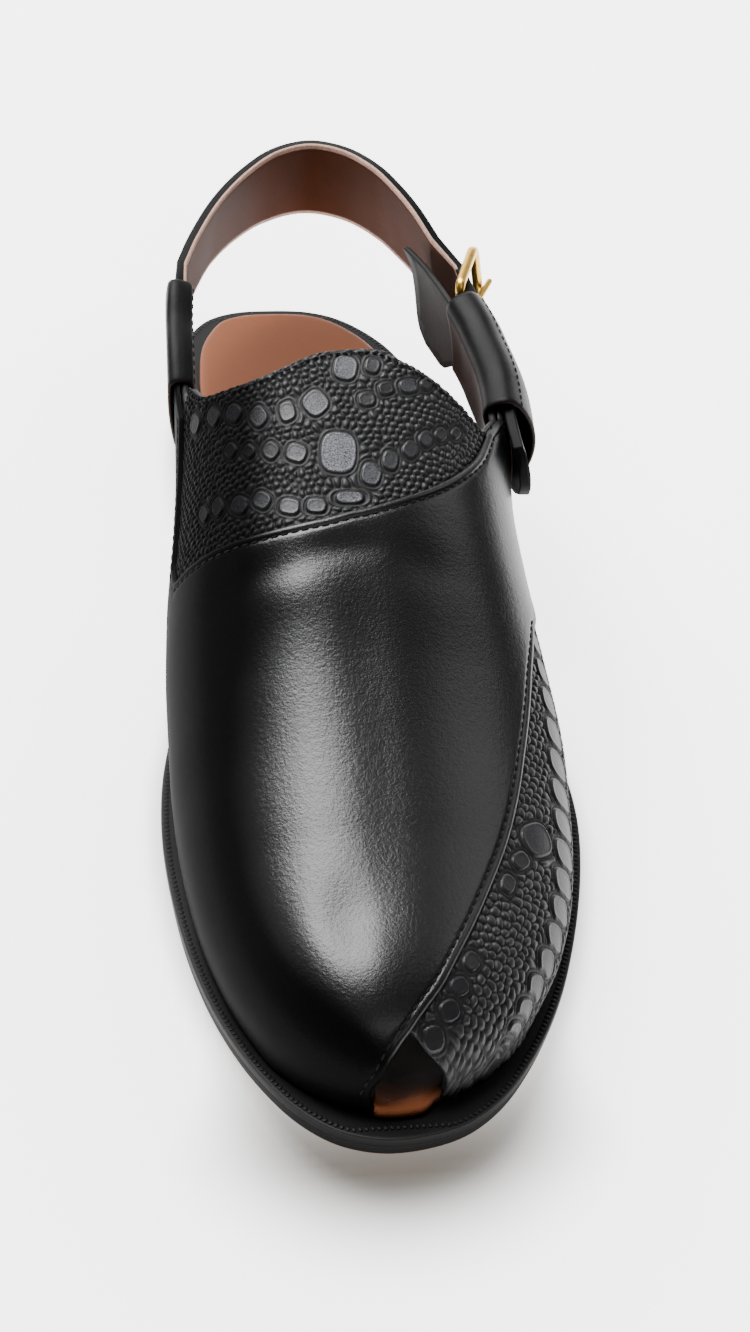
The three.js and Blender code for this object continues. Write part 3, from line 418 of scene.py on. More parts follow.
def face(girth, share):
    """The last's face at a girth and a share of the length."""
    girth, share = np.broadcast_arrays(np.asarray(girth, float), np.asarray(share, float))
    y = along(share)
    side = np.where(girth < 0, -1.0, 1.0)
    pick = lambda a, b: np.where(side < 0, COLUMN[a](share), COLUMN[b](share))
    widest = side * pick("medial", "lateral") * BALL_WIDTH
    edge = np.where(side < 0, edge_point("medial", y, 0)[..., 0], edge_point("lateral", y, 0)[..., 0])
    feather = side * np.minimum(side * edge - WELT_SHELF, side * widest)
    foot = sole_top(y) + CLEARANCE
    shoulder = foot + pick("medial_wide", "lateral_wide") * INSTEP
    t = np.minimum(np.abs(girth), 1)
    up = (1 - t) / (1 - SHOULDER)
    bow = np.sin(np.clip(up, 0, 1) * math.pi / 2)
    angle = (1 - np.minimum(t / SHOULDER, 1)) * math.pi / 2
    ridge = COLUMN["ridge"](share) * BALL_WIDTH
    top = sole_top(y) + COLUMN["height"](share) * INSTEP
    full = np.maximum(np.cos(angle), 0) ** (2 / COLUMN["square"](share))
    low = t > SHOULDER
    x = np.where(low, mix(feather, widest, bow), mix(ridge, widest, full))
    z = np.where(low, mix(foot, shoulder, up), mix(shoulder, top, np.sin(angle)))
    return np.stack([x, y, z], -1)


FACE_BACK, FACE_FRONT = SHARES[0], SHARES[-1]


def normal_at(girth, share):
    around = (face(np.clip(girth + FACE_STEP, -1, 1), share) - face(np.clip(girth - FACE_STEP, -1, 1), share))
    length = (face(girth, np.clip(share + FACE_STEP / 4, FACE_BACK, FACE_FRONT))
              - face(girth, np.clip(share - FACE_STEP / 4, FACE_BACK, FACE_FRONT)))
    return unit(np.cross(length, around))


def last(girth, share, offset):
    """A point on the last moved out by an offset, its lowest edge level over the sole."""
    girth, share = np.asarray(girth, float), np.asarray(share, float)
    point = face(girth, share) + normal_at(girth, share) * np.asarray(offset, float)[..., None]
    foot = sole_top(point[..., 1]) + CLEARANCE
    low = (np.abs(girth) > 0.999) | (point[..., 2] < foot)
    point[..., 2] = np.where(low, foot, point[..., 2])
    return point


EAR_MIDDLE = {"medial": smooth_column(*zip(*MEDIAL_EAR)), "lateral": smooth_column(*zip(*LATERAL_EAR))}


def across_ear(side, share, width):
    """The girth at a width in millimetres from an ear's middle line."""
    middle = EAR_MIDDLE[side](share)
    span = np.linalg.norm(face(middle + 0.05, share) - face(middle - 0.05, share), axis=-1)
    return middle + width * 0.1 / span


def ear_point(side, share, width, offset):
    sign = 1 if side == "medial" else -1
    return last(across_ear(side, share, sign * np.asarray(width, float)), share, offset)


def ear_run(side, start, end, width):
    return [(s, float(across_ear(side, s, width))) for s in np.linspace(start, end, 9)]


def medial_ear(end):
    root = MEDIAL_LOOP[1] + EAR_ROOT
    return [[*MEDIAL_BACK, *ear_run("medial", root, end, -HALF_EAR)], ear_run("medial", end, root, HALF_EAR)]


def lateral_ear(end, end_run=()):
    root = LATERAL_LOOP[1] + EAR_ROOT
    back = LATERAL_LOOP[0] - EAR_ROOT if end_run else end
    middle = [list(end_run)] if end_run else []
    return [ear_run("lateral", root, end, -HALF_EAR), *middle,
            [*ear_run("lateral", back, root, HALF_EAR), *VAMP_UNDER]]


def distance_to(starts, ends, points):
    """Distance in millimetres from points to the nearest of some straight stretches."""
    span = ends - starts
    length2 = np.maximum((span**2).sum(1), 1e-12)
    best = np.empty(len(points))
    for first in range(0, len(points), CHUNK):
        rel = points[first:first + CHUNK, None, :] - starts[None]
        t = np.clip((rel * span).sum(2) / length2, 0, 1)
        best[first:first + CHUNK] = np.sqrt(((rel - t[..., None] * span) ** 2).sum(2).min(1))
    return best


def distance_from(path, points, closed=True):
    """Distance in millimetres from points to a path."""
    ends = np.roll(path, -1, axis=0) if closed else path[1:]
    return distance_to(path[:len(ends)], ends, points)


def turning(ring):
    """The signed area of a ring on the sheet: negative when it runs clockwise."""
    g, s = ring.T
    return 0.5 * (g * np.roll(s, -1) - np.roll(g, -1) * s).sum()


class Sheet:
    """The last laid out flat: millimetres round it from the ridge, and millimetres along it."""

    def __init__(self):
        self.shares = np.linspace(FACE_BACK, FACE_FRONT, 150)
        fine = np.linspace(0, 1, 500) ** 1.6
        self.girths = np.concatenate([-fine[::-1][:-1], fine])
        solid = face(self.girths[None, :], self.shares[:, None])
        run = np.concatenate([np.zeros((len(self.shares), 1)),
                              np.cumsum(np.linalg.norm(np.diff(solid, axis=1), axis=2), axis=1)], axis=1)
        self.arcs = run - run[:, len(fine) - 1:len(fine)]
        self.steps = np.linspace(-1, 1, 801)
        self.back = np.array([
            np.interp(self.steps * np.where(self.steps < 0, -row[0], row[-1]), row, self.girths)
            for row in self.arcs])

    def _between(self, table, columns, x, share):
        r = np.clip((share - FACE_BACK) / (FACE_FRONT - FACE_BACK) * (len(self.shares) - 1), 0,
                    len(self.shares) - 1.0001)
        i = r.astype(int)
        j = np.clip(np.searchsorted(columns, x) - 1, 0, len(columns) - 2)
        u, v = r - i, (x - columns[j]) / (columns[j + 1] - columns[j])
        return ((table[i, j] * (1 - v) + table[i, j + 1] * v) * (1 - u)
                + (table[i + 1, j] * (1 - v) + table[i + 1, j + 1] * v) * u)

    def flat(self, girth, share):
        girth, share = np.broadcast_arrays(np.asarray(girth, float), np.asarray(share, float))
        return np.stack([self._between(self.arcs, self.girths, girth, share), share * SOLE_LENGTH], -1)

    def lift(self, flat):
        share = flat[:, 1] / SOLE_LENGTH
        reach = np.where(flat[:, 0] < 0, -np.interp(share, self.shares, self.arcs[:, 0]),
                         np.interp(share, self.shares, self.arcs[:, -1]))
        step = np.clip(flat[:, 0] / np.maximum(reach, 1e-6), -1, 1)
        return np.stack([self._between(self.back, self.steps, step, share), share], -1)


SHEET = Sheet()


def outline_points(runs, spacing, closed=True):
    """Smooth runs joined by straight lines, as evenly spaced points (girth, share) along the last."""
    rows = [catmull(run, 12) if len(run) > 2 else np.array(run, float) for run in runs]
    flat = np.vstack(rows)[:, ::-1]
    flat = flat[np.concatenate([[True], np.linalg.norm(np.diff(flat, axis=0), axis=1) > 1e-6])]
    if closed:
        flat = np.vstack([flat, flat[:1]])
    fine = np.vstack([flat[i] + (flat[i + 1] - flat[i]) * np.linspace(0, 1, 9)[:-1, None]
                      for i in range(len(flat) - 1)] + [flat[-1:]])
    fine[:, 0] = np.clip(fine[:, 0], -1, 1)
    solid = face(*fine.T)
    length = np.concatenate([[0], np.cumsum(np.linalg.norm(np.diff(solid, axis=0), axis=1))])
    count = max(int(length[-1] / spacing), 8)
    at = np.linspace(0, length[-1], count + 1)
    out = np.stack([np.interp(at, length, fine[:, i]) for i in range(2)], 1)
    return out[:-1] if closed else out


def inward_steps(ring):
    """Sheet steps that move each point of a ring one millimetre inwards on the last."""
    g, s = ring.T
    g0, g1 = np.clip(g - RING_STEP, -1, 1), np.clip(g + RING_STEP, -1, 1)
    s0, s1 = np.maximum(s - RING_STEP / 4, FACE_BACK), np.minimum(s + RING_STEP / 4, FACE_FRONT)
    dg = (face(g1, s) - face(g0, s)) / (g1 - g0)[:, None]
    ds = (face(g, s1) - face(g, s0)) / (s1 - s0)[:, None]
    solid = face(g, s)
    tangent = unit(np.roll(solid, -1, 0) - np.roll(solid, 1, 0))
    normal = unit(np.cross(ds, dg))
    inward = np.cross(normal, tangent) * (-1 if turning(ring) > 0 else 1)
    gg, gs, ss = (dg * dg).sum(1), (dg * ds).sum(1), (ds * ds).sum(1)
    ig, is_ = (inward * dg).sum(1), (inward * ds).sum(1)
    det = np.maximum(gg * ss - gs * gs, 1e-9)
    return np.stack([(ig * ss - is_ * gs) / det, (is_ * gg - ig * gs) / det], 1)


def staggered(low, high, across, down):
    """A grid of points in which every other row is moved half a step across."""
    rows, columns = np.arange(low[1], high[1], down), np.arange(low[0], high[0], across)
    return np.array([(c + (i % 2) * across / 2, r) for i, r in enumerate(rows) for c in columns])


def sheet_mesh(ring, depths, spacing):
    """Triangles of a pattern piece: its ring, rings inside it at some depths and a grid between them."""
    count = len(ring)
    solid = face(*ring.T)
    steps = inward_steps(ring)
    parts = [ring]
    for depth in depths:
        inner = ring + steps * depth
        inner[:, 0] = np.clip(inner[:, 0], -EDGE_GIRTH, EDGE_GIRTH)
        away = distance_from(solid, face(*inner.T))
        parts.append(inner[away > depth * RING_KEPT - RING_SLACK])
    flat_ring = SHEET.flat(*ring.T)
    low, high = flat_ring.min(0), flat_ring.max(0)
    grid = staggered(low, high, spacing, spacing * GRID_ROW)
    grid = SHEET.lift(grid[inside(flat_ring, grid)])
    deepest = depths[-1] if depths else 0
    away = distance_from(solid, face(*grid.T))
    parts.append(grid[away > deepest + spacing * GRID_CLEAR])
    points = SHEET.flat(*np.vstack(parts).T)
    edges = [(i, (i + 1) % count) for i in range(count)]
    made, _, triangles, origin, _, _ = delaunay_2d_cdt([Vector(p) for p in points], edges, [], 1, 1e-5)
    made = SHEET.lift(np.array([(v.x, v.y) for v in made]))
    rim = np.full(count, -1)
    for index, sources in enumerate(origin):
        for source in sources:
            if source < count:
                rim[source] = index
    if (rim < 0).any():
        raise RuntimeError("a pattern piece lost a point of its outline")
    return made, np.array([list(t) for t in triangles if len(t) == 3]), rim


def inside(ring, points):
    """Which points lie inside a closed ring, by counting crossings."""
    x, y = points[:, 0], points[:, 1]
    hit = np.zeros(len(points), bool)
    for (x0, y0), (x1, y1) in zip(ring, np.roll(ring, -1, axis=0)):
        if y0 == y1:
            continue
        crosses = (y0 > y) != (y1 > y)
        hit ^= crosses & (x < (x1 - x0) * (y - y0) / (y1 - y0) + x0)
    return hit


def mesh_object(name, points, faces, attributes=None):
    """A smooth mesh object from points in millimetres."""
    mesh = bpy.data.meshes.new(name)
    points = np.asarray(points, float) * MM
    mesh.from_pydata(points, [], [[int(i) for i in f] for block in faces for f in block])
    mesh.validate()
    mesh.update()
    mesh.polygons.foreach_set("use_smooth", [True] * len(mesh.polygons))
    for key, values in (attributes or {}).items():
        values = np.ravel(values).astype(np.float32)
        mesh.attributes.new(key, "FLOAT", "POINT").data.foreach_set("value", values)
    return linked(name, mesh)


def linked(name, data):
    """A new object of the scene."""
    piece = bpy.data.objects.new(name, data)
    bpy.context.scene.collection.objects.link(piece)
    return piece


def leather_panel(name, runs, inner, top, spacing, depths, rim_spacing=0.9, back_spacing=5.0):
    """A cut piece of leather on the last. top(girth, share, depth from the edge) gives its face's offset."""
    ring = outline_points(runs, rim_spacing)
    if turning(ring) < 0:
        ring = ring[::-1]
    front, front_faces, front_rim = sheet_mesh(ring, depths, spacing)
    back, back_faces, back_rim = sheet_mesh(ring, (), back_spacing)
    free = np.abs(ring[:, 0]) < FOOT_GIRTH
    free &= np.abs(np.roll(ring[:, 0], -1)) < FOOT_GIRTH
    solid = face(*ring.T)
    depth = distance_to(solid[free], np.roll(solid, -1, axis=0)[free], face(*front.T))
    offset, extra = top(*front.T, depth)
    outer = last(*front.T, offset)
    under = last(*back.T, np.full(len(back), float(inner)))
    back_rim = back_rim + len(outer)
    rim_faces = np.stack([front_rim, back_rim, np.roll(back_rim, -1), np.roll(front_rim, -1)], 1)
    # How much painted shade each point takes
    extra["shade"] = shaded(*front.T)
    values = {key: np.concatenate([v, np.full(len(under), v.min())]) for key, v in extra.items()}
    return mesh_object(name, np.vstack([outer, under]),
                       [front_faces[:, ::-1], back_faces + len(outer), rim_faces[:, ::-1]], values)


def shaded(girth, share):
    """Painted shade: 1 where the leather faces the inner side or the toe, away from the light, some where it
    faces the outer side, and 0 on top.
    """
    normal = normal_at(np.clip(girth, -1, 1), share)
    inner = ease(-normal[:, 0] - TOE_SHARE * normal[:, 1], *INNER_SHADE)
    return np.maximum(inner, OUTER_PAINTED_SHADE * ease(normal[:, 0], *OUTER_SHADE))


# A folded edge: millimetres from the edge, and the face's offset there
HEM = (
    (0, -1.05), (0.15, -0.55), (0.35, -0.22), (0.6, -0.06), (0.9, 0.02), (1.3, 0.04), (1.65, -0.02),
    (1.95, -0.15), (2.2, -0.22), (2.45, -0.15), (2.8, -0.03), (3.4, 0.02), (4.2, 0),
)
HEM_DEPTHS = tuple(row[0] for row in HEM[1:-1])
PLAIN_EDGE = ((0, -0.75), (0.15, -0.35), (0.4, -0.1), (0.8, 0), (1.4, 0))


def edge_profile(table, depth):
    return smooth_column(*zip(*table))(depth)


def bump_at(girth, share, centre, size):
    """A soft mound between 0 and 1 at a place on the last, sized in girth and share."""
    return np.exp(-((girth - centre[0]) / size[0]) ** 2 - ((share - centre[1]) / size[1]) ** 2)


# Gentle hollows and swellings of the vamp: girth, share, girth size, share size, millimetres
VAMP_FORM = (
    (-0.02, 0.548, 0.06, 0.012, -0.55), (0.09, 0.56, 0.05, 0.02, -0.35), (-0.17, 0.555, 0.1, 0.012, -0.3),
    (-0.13, 0.58, 0.09, 0.018, 0.35), (0.0, 0.62, 0.035, 0.06, -0.25), (0.02, 0.72, 0.03, 0.1, -0.15),
    (-0.075, 0.858, 0.075, 0.036, -0.85), (-0.02, 0.9, 0.06, 0.03, 0.25),
)


def vamp_face(girth, share, depth):
    offset = edge_profile(HEM, depth)
    hem = ease(depth, *HEM_FADE)
    for g, s, wide, long, high in VAMP_FORM:
        offset = offset + bump_at(girth, share, (g, s), (wide, long)) * high * hem
    return offset, {"edge": 1 - ease(depth, 0, 1.2)}


def vamp_runs():
    bar = BUCKLE_BAR + (BUCKLE_WIRE / 2 + CLEARANCE * 2) / SOLE_LENGTH
    return [*medial_ear(MEDIAL_EAR_END), VAMP_WING, VAMP_THROAT, *lateral_ear(bar), VAMP_SIDE, TOE_MEDIAL]


def upper_runs():
    return [*medial_ear(MEDIAL_EAR_END), COLLAR, *lateral_ear(FLAP_TOP, FLAP_END), PANEL_BACK,
            TOE_LATERAL, TOE_MEDIAL]


def plate_reach(flat, centre, size, turn):
    """How far out points are from a plate's centre: 1 on its rounded outline."""
    away = flat - centre
    c, k = math.cos(turn), math.sin(turn)
    x, y = away[:, 0] * c + away[:, 1] * k, away[:, 1] * c - away[:, 0] * k
    return (np.abs(x / size[0]) ** PLATE_SQUARE + np.abs(y / size[1]) ** PLATE_SQUARE) ** (1 / PLATE_SQUARE)


def scattered(low, high, spacing, keep_out, seed):
    """Centres of scales in a skewed, jittered grid, in sheet millimetres."""
    rng = np.random.default_rng(seed)
    grid = staggered(low, high, spacing[0], spacing[1] * SCALE_ROW)
    grid += rng.normal(0, 1, grid.shape) * np.array(spacing) * SCATTER
    for centre, radius, turn in keep_out:
        grid = grid[plate_reach(grid, centre, radius, turn) > KEEP_OUT]
    return grid


def scales(girth, share, plates, spacing, seed):
    """Height from 0 in the grooves to 1 on the scales, and which points are on a plate."""
    flat = SHEET.flat(girth, share)
    centres = SHEET.flat([row[1] for row in plates], [row[0] for row in plates])
    sizes = np.array([(row[2] / 2, row[3] / 2) for row in plates])
    turns = [math.radians(row[4]) for row in plates]
    grown = scattered(flat.min(0) - 3, flat.max(0) + 3, spacing, zip(centres, sizes + RING_GAP, turns), seed)
    tree = KDTree(len(grown))
    stretch = np.array([1, spacing[0] / spacing[1]])
    for i, centre in enumerate(grown * stretch):
        tree.insert((centre[0], centre[1], 0), i)
    tree.balance()
    near = np.array([[hit[2] for hit in tree.find_n((p[0], p[1], 0), 2)] for p in flat * stretch])
    gap = near[:, 1] - near[:, 0]
    dome = np.clip(near[:, 0] / spacing[0] * DOME_REACH, 0, 1) ** 2
    height = ease(gap, *GROOVE_GAP) * (1 - DOME_FALL * dome)
    on_plate = np.zeros(len(flat))
    for centre, size, turn in zip(centres, sizes, turns):
        edge = (plate_reach(flat, centre, size, turn) - 1) * size.min()
        close = edge < RING_GAP + 0.5
        plate = 1 - ease(edge, -0.34, 0.06)
        dish = PLATE_DISH * ease(-edge, 0.25, 0.9)
        ring = np.exp(-((edge - RING_PLACE) / RING_WIDTH) ** 2) * RING_HEIGHT
        made = np.maximum(plate * (PLATE_TOP - dish), ring)
        blend = ease(edge, RING_GAP - 0.05, RING_GAP + 0.4)
        height = np.where(close, made * (1 - blend) + height * blend, height)
        shown = (1 - ease(edge, -0.5, 0.1)) * size.max() / LARGEST_PLATE
        on_plate = np.where(close, np.maximum(on_plate, shown), on_plate)
    return height, np.minimum(on_plate, 1)


def embossed(plates, spacing, seed, cover, relief=1.0):
    """The face of an embossed piece. cover: the outline of what lies over it, where it is pressed flat."""
    over = outline_points(cover, 1.0)

    def face_offset(girth, share, depth):
        height, plate = scales(girth, share, plates, spacing, seed)
        away = distance_from(face(*over.T), face(girth, share))
        away = np.where(inside(over, np.stack([girth, share], 1)), -away, away)
        offset = GROOVE + (SCALE_TOP - GROOVE) * height * relief
        offset = np.minimum(offset, mix(UNDER_VAMP, SCALE_TOP + 0.2, ease(away, 0.05, 0.9)))
        offset = np.maximum(offset + edge_profile(PLAIN_EDGE, depth) * 0.5, SKIN_INNER + 0.06)
        return offset, {"height": height, "plate": plate}

    return face_offset


def flap_runs():
    return [COLLAR, FLAP_UNDER]


def panel_runs():
    hidden = [(s, max(g - PANEL_UNDER, 0.02)) for s, g in reversed(VAMP_SIDE)]
    return [[(0.548, 0.44), (0.54, 0.475), *PANEL_BACK], TOE_LATERAL, hidden]


def bands(rows, closed=False):
    """Quads that join each loop of points to the next one, and the last to the first if closed."""
    count = len(rows[0])
    j = np.arange(count)
    k = (j + 1) % count
    pairs = [(i, (i + 1) % len(rows)) for i in range(len(rows) if closed else len(rows) - 1)]
    return [np.stack([a * count + j, a * count + k, b * count + k, b * count + j], 1) for a, b in pairs]


def sole_layer(name, bottom, top, edge, inset=lambda share, side: 0, to=1.0, front=lambda level: 0,
               stations=150, dish=lambda share, across: 0, shade=None):
    """A layer of the sole. edge: rows of an inset and a level between the layer's bottom and its top."""
    whole = to == 1.0
    t = np.linspace(0, 1, stations + 1)
    shares = (1 - np.cos(np.pi * t)) / 2 if whole else 1 - np.cos(np.pi / 2 * t)
    y = mix(HEEL_SEAT, along(to), shares)
    loops = []
    for row_inset, level in edge:
        sides = [edge_point(side, y, row_inset + inset(share_at(y), side)) for side in ("medial", "lateral")]
        tip = (sides[0] + sides[1]) / 2
        for p in sides:
            p[0] = tip[0]
            if whole:
                p[-1] = tip[-1]
            p[-1, 1] += front(level)
        flat = np.vstack([sides[0], sides[1][::-1]])
        loops.append(np.column_stack([flat, mix(bottom(flat[:, 1]), top(flat[:, 1]), level)]))
    count = len(loops[0])
    points = np.vstack(loops)
    level = np.repeat([row[1] for row in edge], count)
    faces = bands(loops)
    half = count // 2
    for loop in (0, len(loops) - 1):
        base = loop * count
        medial = base + np.arange(half)
        lateral = base + count - 1 - np.arange(half)
        lines = [medial]
        for c in range(1, SOLE_COLUMNS):
            across = c / SOLE_COLUMNS
            line = points[medial] * (1 - across) + points[lateral] * across
            if loop:
                line[:, 2] += dish(share_at(line[:, 1]), across)
            lines.append(np.arange(half) + len(points))
            points = np.vstack([points, line])
            level = np.concatenate([level, np.full(half, edge[loop][1])])
        lines.append(lateral)
        for a, b in zip(lines[:-1], lines[1:]):
            quads = np.stack([a[:-1], a[1:], b[1:], b[:-1]], 1)
            faces.append(quads if loop else quads[:, ::-1])
    merged, merged_faces, kept = weld(points, faces)
    values = {"level": level[kept]}
    if shade:
        values["shade"] = shade(merged)
    return mesh_object(name, merged, [merged_faces], values)


def weld(points, faces):
    """Merges equal points and drops the faces that vanish."""
    key = np.round(np.asarray(points) * 1000).astype(np.int64)
    _, first, index = np.unique(key, axis=0, return_index=True, return_inverse=True)
    index = index.reshape(-1)
    out = []
    for block in faces:
        for polygon in index[np.asarray(block)]:
            ring = [int(v) for i, v in enumerate(polygon) if v != polygon[i - 1]]
            if len(set(ring)) >= 3:
                out.append(ring)
    return np.asarray(points)[first], out, first


def loft_rows(name, rows, attributes):
    """A closed skin over rows of equal loops, with flat ends."""
    count = len(rows[0])
    ends = [np.arange(count)[None, ::-1], (np.arange(count) + (len(rows) - 1) * count)[None]]
    return mesh_object(name, np.vstack(rows), bands(rows) + ends, attributes)


def strap_section(half, thick):
    """A strap's cross-section as rows of width, height and side: 1 outer face, 0 raw edge, -1 lining."""
    across = np.linspace(-1, 1, 13)
    radius, bevel, crown = 0.45, 0.3, 0.12
    low, high = radius - thick / 2, thick / 2 - radius

    def flank(sign, middle):
        """One edge, from the outer face down to the lining."""
        corner = [(radius - radius * math.cos(a), high + radius * math.sin(a), 1)
                  for a in np.radians((60, 30))]
        wall = [(0, high - 0.1, 1), (0, low + 0.45, 1), (0, low + 0.35, 0), (0, low + middle, 0),
                (0.02, low, 0), (bevel, -thick / 2, 0)]
        return [(sign * (half - x), z, side) for x, z, side in corner + wall]

    outside = [(w * (half - radius), thick / 2 - crown * abs(w) ** 6, 1) for w in across]
    lining = [(w * (half - bevel), -thick / 2, -1) for w in across[::-1][1:-1]]
    return np.array(outside + flank(1, 0.2) + lining + flank(-1, 0.3)[::-1])


def buckle_place():
    lift = WALL_OUTER + CLEARANCE * 2 + BUCKLE_WIRE / 2
    bar = ear_point("lateral", BUCKLE_BAR, 0.0, lift)
    up = unit(ear_point("lateral", BUCKLE_BAR, HALF_EAR, 0.0)
              - ear_point("lateral", BUCKLE_BAR, -HALF_EAR, 0.0))
    far = bar + np.array([BUCKLE_STANDOFF, BUCKLE_REACH, 0])
    reach = far - bar
    reach = unit(reach - up * (reach @ up))
    return {"bar": bar, "up": up, "reach": reach, "outward": unit(np.cross(reach, up)),
            "length": float(np.linalg.norm(far - bar))}


BUCKLE = buckle_place()


def strap_on_ear(side, share, offset, section, wide=1.0):
    width = section[:, 0] * wide + HALF_EAR * (1 - wide)
    return ear_point(side, np.full(len(section), share), width, offset + section[:, 1])


def strap_on_buckle(reach, offset, section):
    return (BUCKLE["bar"] + BUCKLE["reach"] * reach + BUCKLE["up"] * section[:, :1]
            + BUCKLE["outward"] * (offset + section[:, 1:2]))


def strap_rows():
    """Cross-sections of the heel strap from inside the medial loop to its tip."""
    flat = strap_section(HALF_EAR, STRAP_LEATHER)
    centre = WALL_INNER / 2
    rows = [strap_on_ear("medial", s, centre, flat) for s in
            np.linspace(MEDIAL_EAR_END - CLEARANCE * 2 / SOLE_LENGTH, MEDIAL_LOOP[0], 6)]
    line = [(a * STRAP_SPREAD, b * HEEL_SEAT, t * STRAP_TOP) for a, b, t, _, _ in STRAP_LINE]
    turns = np.linspace(0, 1, STRAP_STEPS + 1)
    place, tangent = open_curve(line, turns)
    index = turns * (len(STRAP_LINE) - 1)
    wide = np.interp(index, range(len(STRAP_LINE)), [row[3] for row in STRAP_LINE])
    lean = np.interp(index, range(len(STRAP_LINE)), [row[4] for row in STRAP_LINE])
    for p, t, w, slant in zip(place, tangent, wide, lean):
        outward = unit(np.array([-t[1], t[0], 0]))
        up = unit(np.array([0, 0, 1.0]) - outward * STRAP_LEAN * slant)
        half = w * STRAP_WIDTH / 2
        section = strap_section(half, STRAP_LEATHER)
        middle = p - up * half - outward * STRAP_LEATHER / 2
        rows.append(middle + up * section[:, :1] + outward * section[:, 1:2])
    over = BUCKLE_WIRE / 2 + CLEARANCE + STRAP_LEATHER / 2 + CLEARANCE / 2
    under = -BUCKLE_WIRE / 2 - CLEARANCE - STRAP_LEATHER / 2 - STRAP_STANDOFF
    for share in (0.67, 0.5, 0.33, 0.16, 0):
        rows.append(strap_on_buckle(BUCKLE["length"] * share, mix(over, under, share), flat))
    run = CLEARANCE + STRAP_LEATHER / 2
    for share in np.linspace(*LATERAL_LOOP, 24):
        rows.append(strap_on_ear("lateral", share, run, flat))
    for share, width, spring in ((0.25, 0.985, 0.15), (0.5, 0.95, 0.35), (0.7, 0.88, 0.6),
                                 (0.88, 0.78, 0.85), (0.96, 0.66, 0.95), (1, 0.56, 1)):
        rows.append(strap_on_ear("lateral", mix(LATERAL_LOOP[1], STRAP_TIP, share), run + TIP_SPRING * spring,
                                 flat, width))
    return rows, flat[:, 2]


def rounded_box(wide, low, high, radius, steps, sides, ends):
    """A rounded rectangle as rows of x, z and angle, anticlockwise from its lower right corner.

    steps: how many in each corner. sides, ends: shares of the upright and the level lines between corners.
    """
    x, bottom, top = wide - radius, low + radius, high - radius
    corners = (
        (x, bottom, 270, (wide, bottom), (wide, top), sides), (x, top, 0, (x, high), (-x, high), ends),
        (-x, top, 90, (-wide, top), (-wide, bottom), sides), (-x, bottom, 180, (-x, low), (x, low), ends),
    )
    rows = []
    for cx, cz, start, line_from, line_to, shares in corners:
        for step in range(steps + 1):
            a = math.radians(start + step * 90 / steps)
            rows.append((cx + radius * math.cos(a), cz + radius * math.sin(a), a))
        rows += [(mix(line_from[0], line_to[0], t), mix(line_from[1], line_to[1], t), a) for t in shares]
    return np.array(rows)


def loop_section(inner, outer):
    """The rounded rings of a leather loop round an ear: outer skin, then bore."""
    return [rounded_box(HALF_EAR + extra, inner - extra, outer + extra, extra + LOOP_ROUND, 6,
                        LOOP_EDGE_STEPS, np.linspace(0, 1, 12)[1:-1])[:, :2]
            for extra in (LOOP_CLEARANCE + LOOP_LEATHER, LOOP_CLEARANCE)]


def leather_loop(name, side, span, inner, outer, crown=0.0):
    """A leather loop round an ear with rolled ends. crown: how far its outer face swells in the middle."""
    skin, bore = loop_section(inner, outer)
    for ring in (skin, bore):
        swell = np.clip((ring[:, 1] - inner) / (outer - inner), 0, 1)
        level = (ring[:, 1] - (inner + outer) / 2) / np.ptp(ring[:, 1]) * 2
        rim = (np.abs(ring[:, 0]) > HALF_EAR - LOOP_ROUND) * np.maximum(0, 1 - level**2)
        ring[:, 1] += crown * swell * np.maximum(0, 1 - (ring[:, 0] / HALF_EAR) ** 2)
        ring[:, 0] += np.sign(ring[:, 0]) * rim * crown * 0.5
    roll = 0.35 / SOLE_LENGTH
    start, end = span
    shares = np.linspace(start + roll, end - roll, 36)
    profile = [(0, share, 1) for share in shares]
    profile += [(0.25, end - roll * 0.25, 1), (0.4, end, 0), (0.6, end, 0), (0.75, end - roll * 0.25, 0)]
    profile += [(1, share, 0) for share in shares[::-1][::3]]
    profile += [(0.75, start + roll * 0.25, 0), (0.6, start, 0), (0.4, start, 0),
                (0.25, start + roll * 0.25, 1)]
    rows = []
    for depth, share, _ in profile:
        ring = mix(skin, bore, depth)
        rows.append(ear_point(side, np.full(len(ring), share), ring[:, 0], ring[:, 1]))
    mark = np.repeat([row[2] for row in profile], len(skin))
    faces = [quads[:, ::-1] if side == "lateral" else quads for quads in bands(rows, closed=True)]
    return mesh_object(name, np.vstack(rows), faces, {"side": mark})


def rounded_frame():
    """The buckle's frame as a bent wire with a flattened section."""
    half_wire = BUCKLE_WIRE / 2 * FRAME_SWELL
    across = HALF_EAR + CLEARANCE * 2 + half_wire
    path = rounded_box(BUCKLE["length"] / 2, -across, across, FRAME_ROUND, 8, np.linspace(0, 1, 10)[1:-1],
                       np.linspace(0, 1, 8)[1:-1])
    middle = BUCKLE["bar"] + BUCKLE["reach"] * BUCKLE["length"] / 2
    square = 3.0
    rows = []
    for x, z, a in path:
        ring = []
        for b in 2 * math.pi * np.arange(16) / 16:
            r = half_wire / (abs(math.cos(b)) ** square + abs(math.sin(b)) ** square) ** (1 / square)
            u, v = r * math.cos(b), r * math.sin(b)
            ring.append(middle + BUCKLE["reach"] * (x + u * math.cos(a))
                        + BUCKLE["up"] * (z + u * math.sin(a)) + BUCKLE["outward"] * v)
        rows.append(np.array(ring))
    return np.vstack(rows), bands(rows, closed=True)


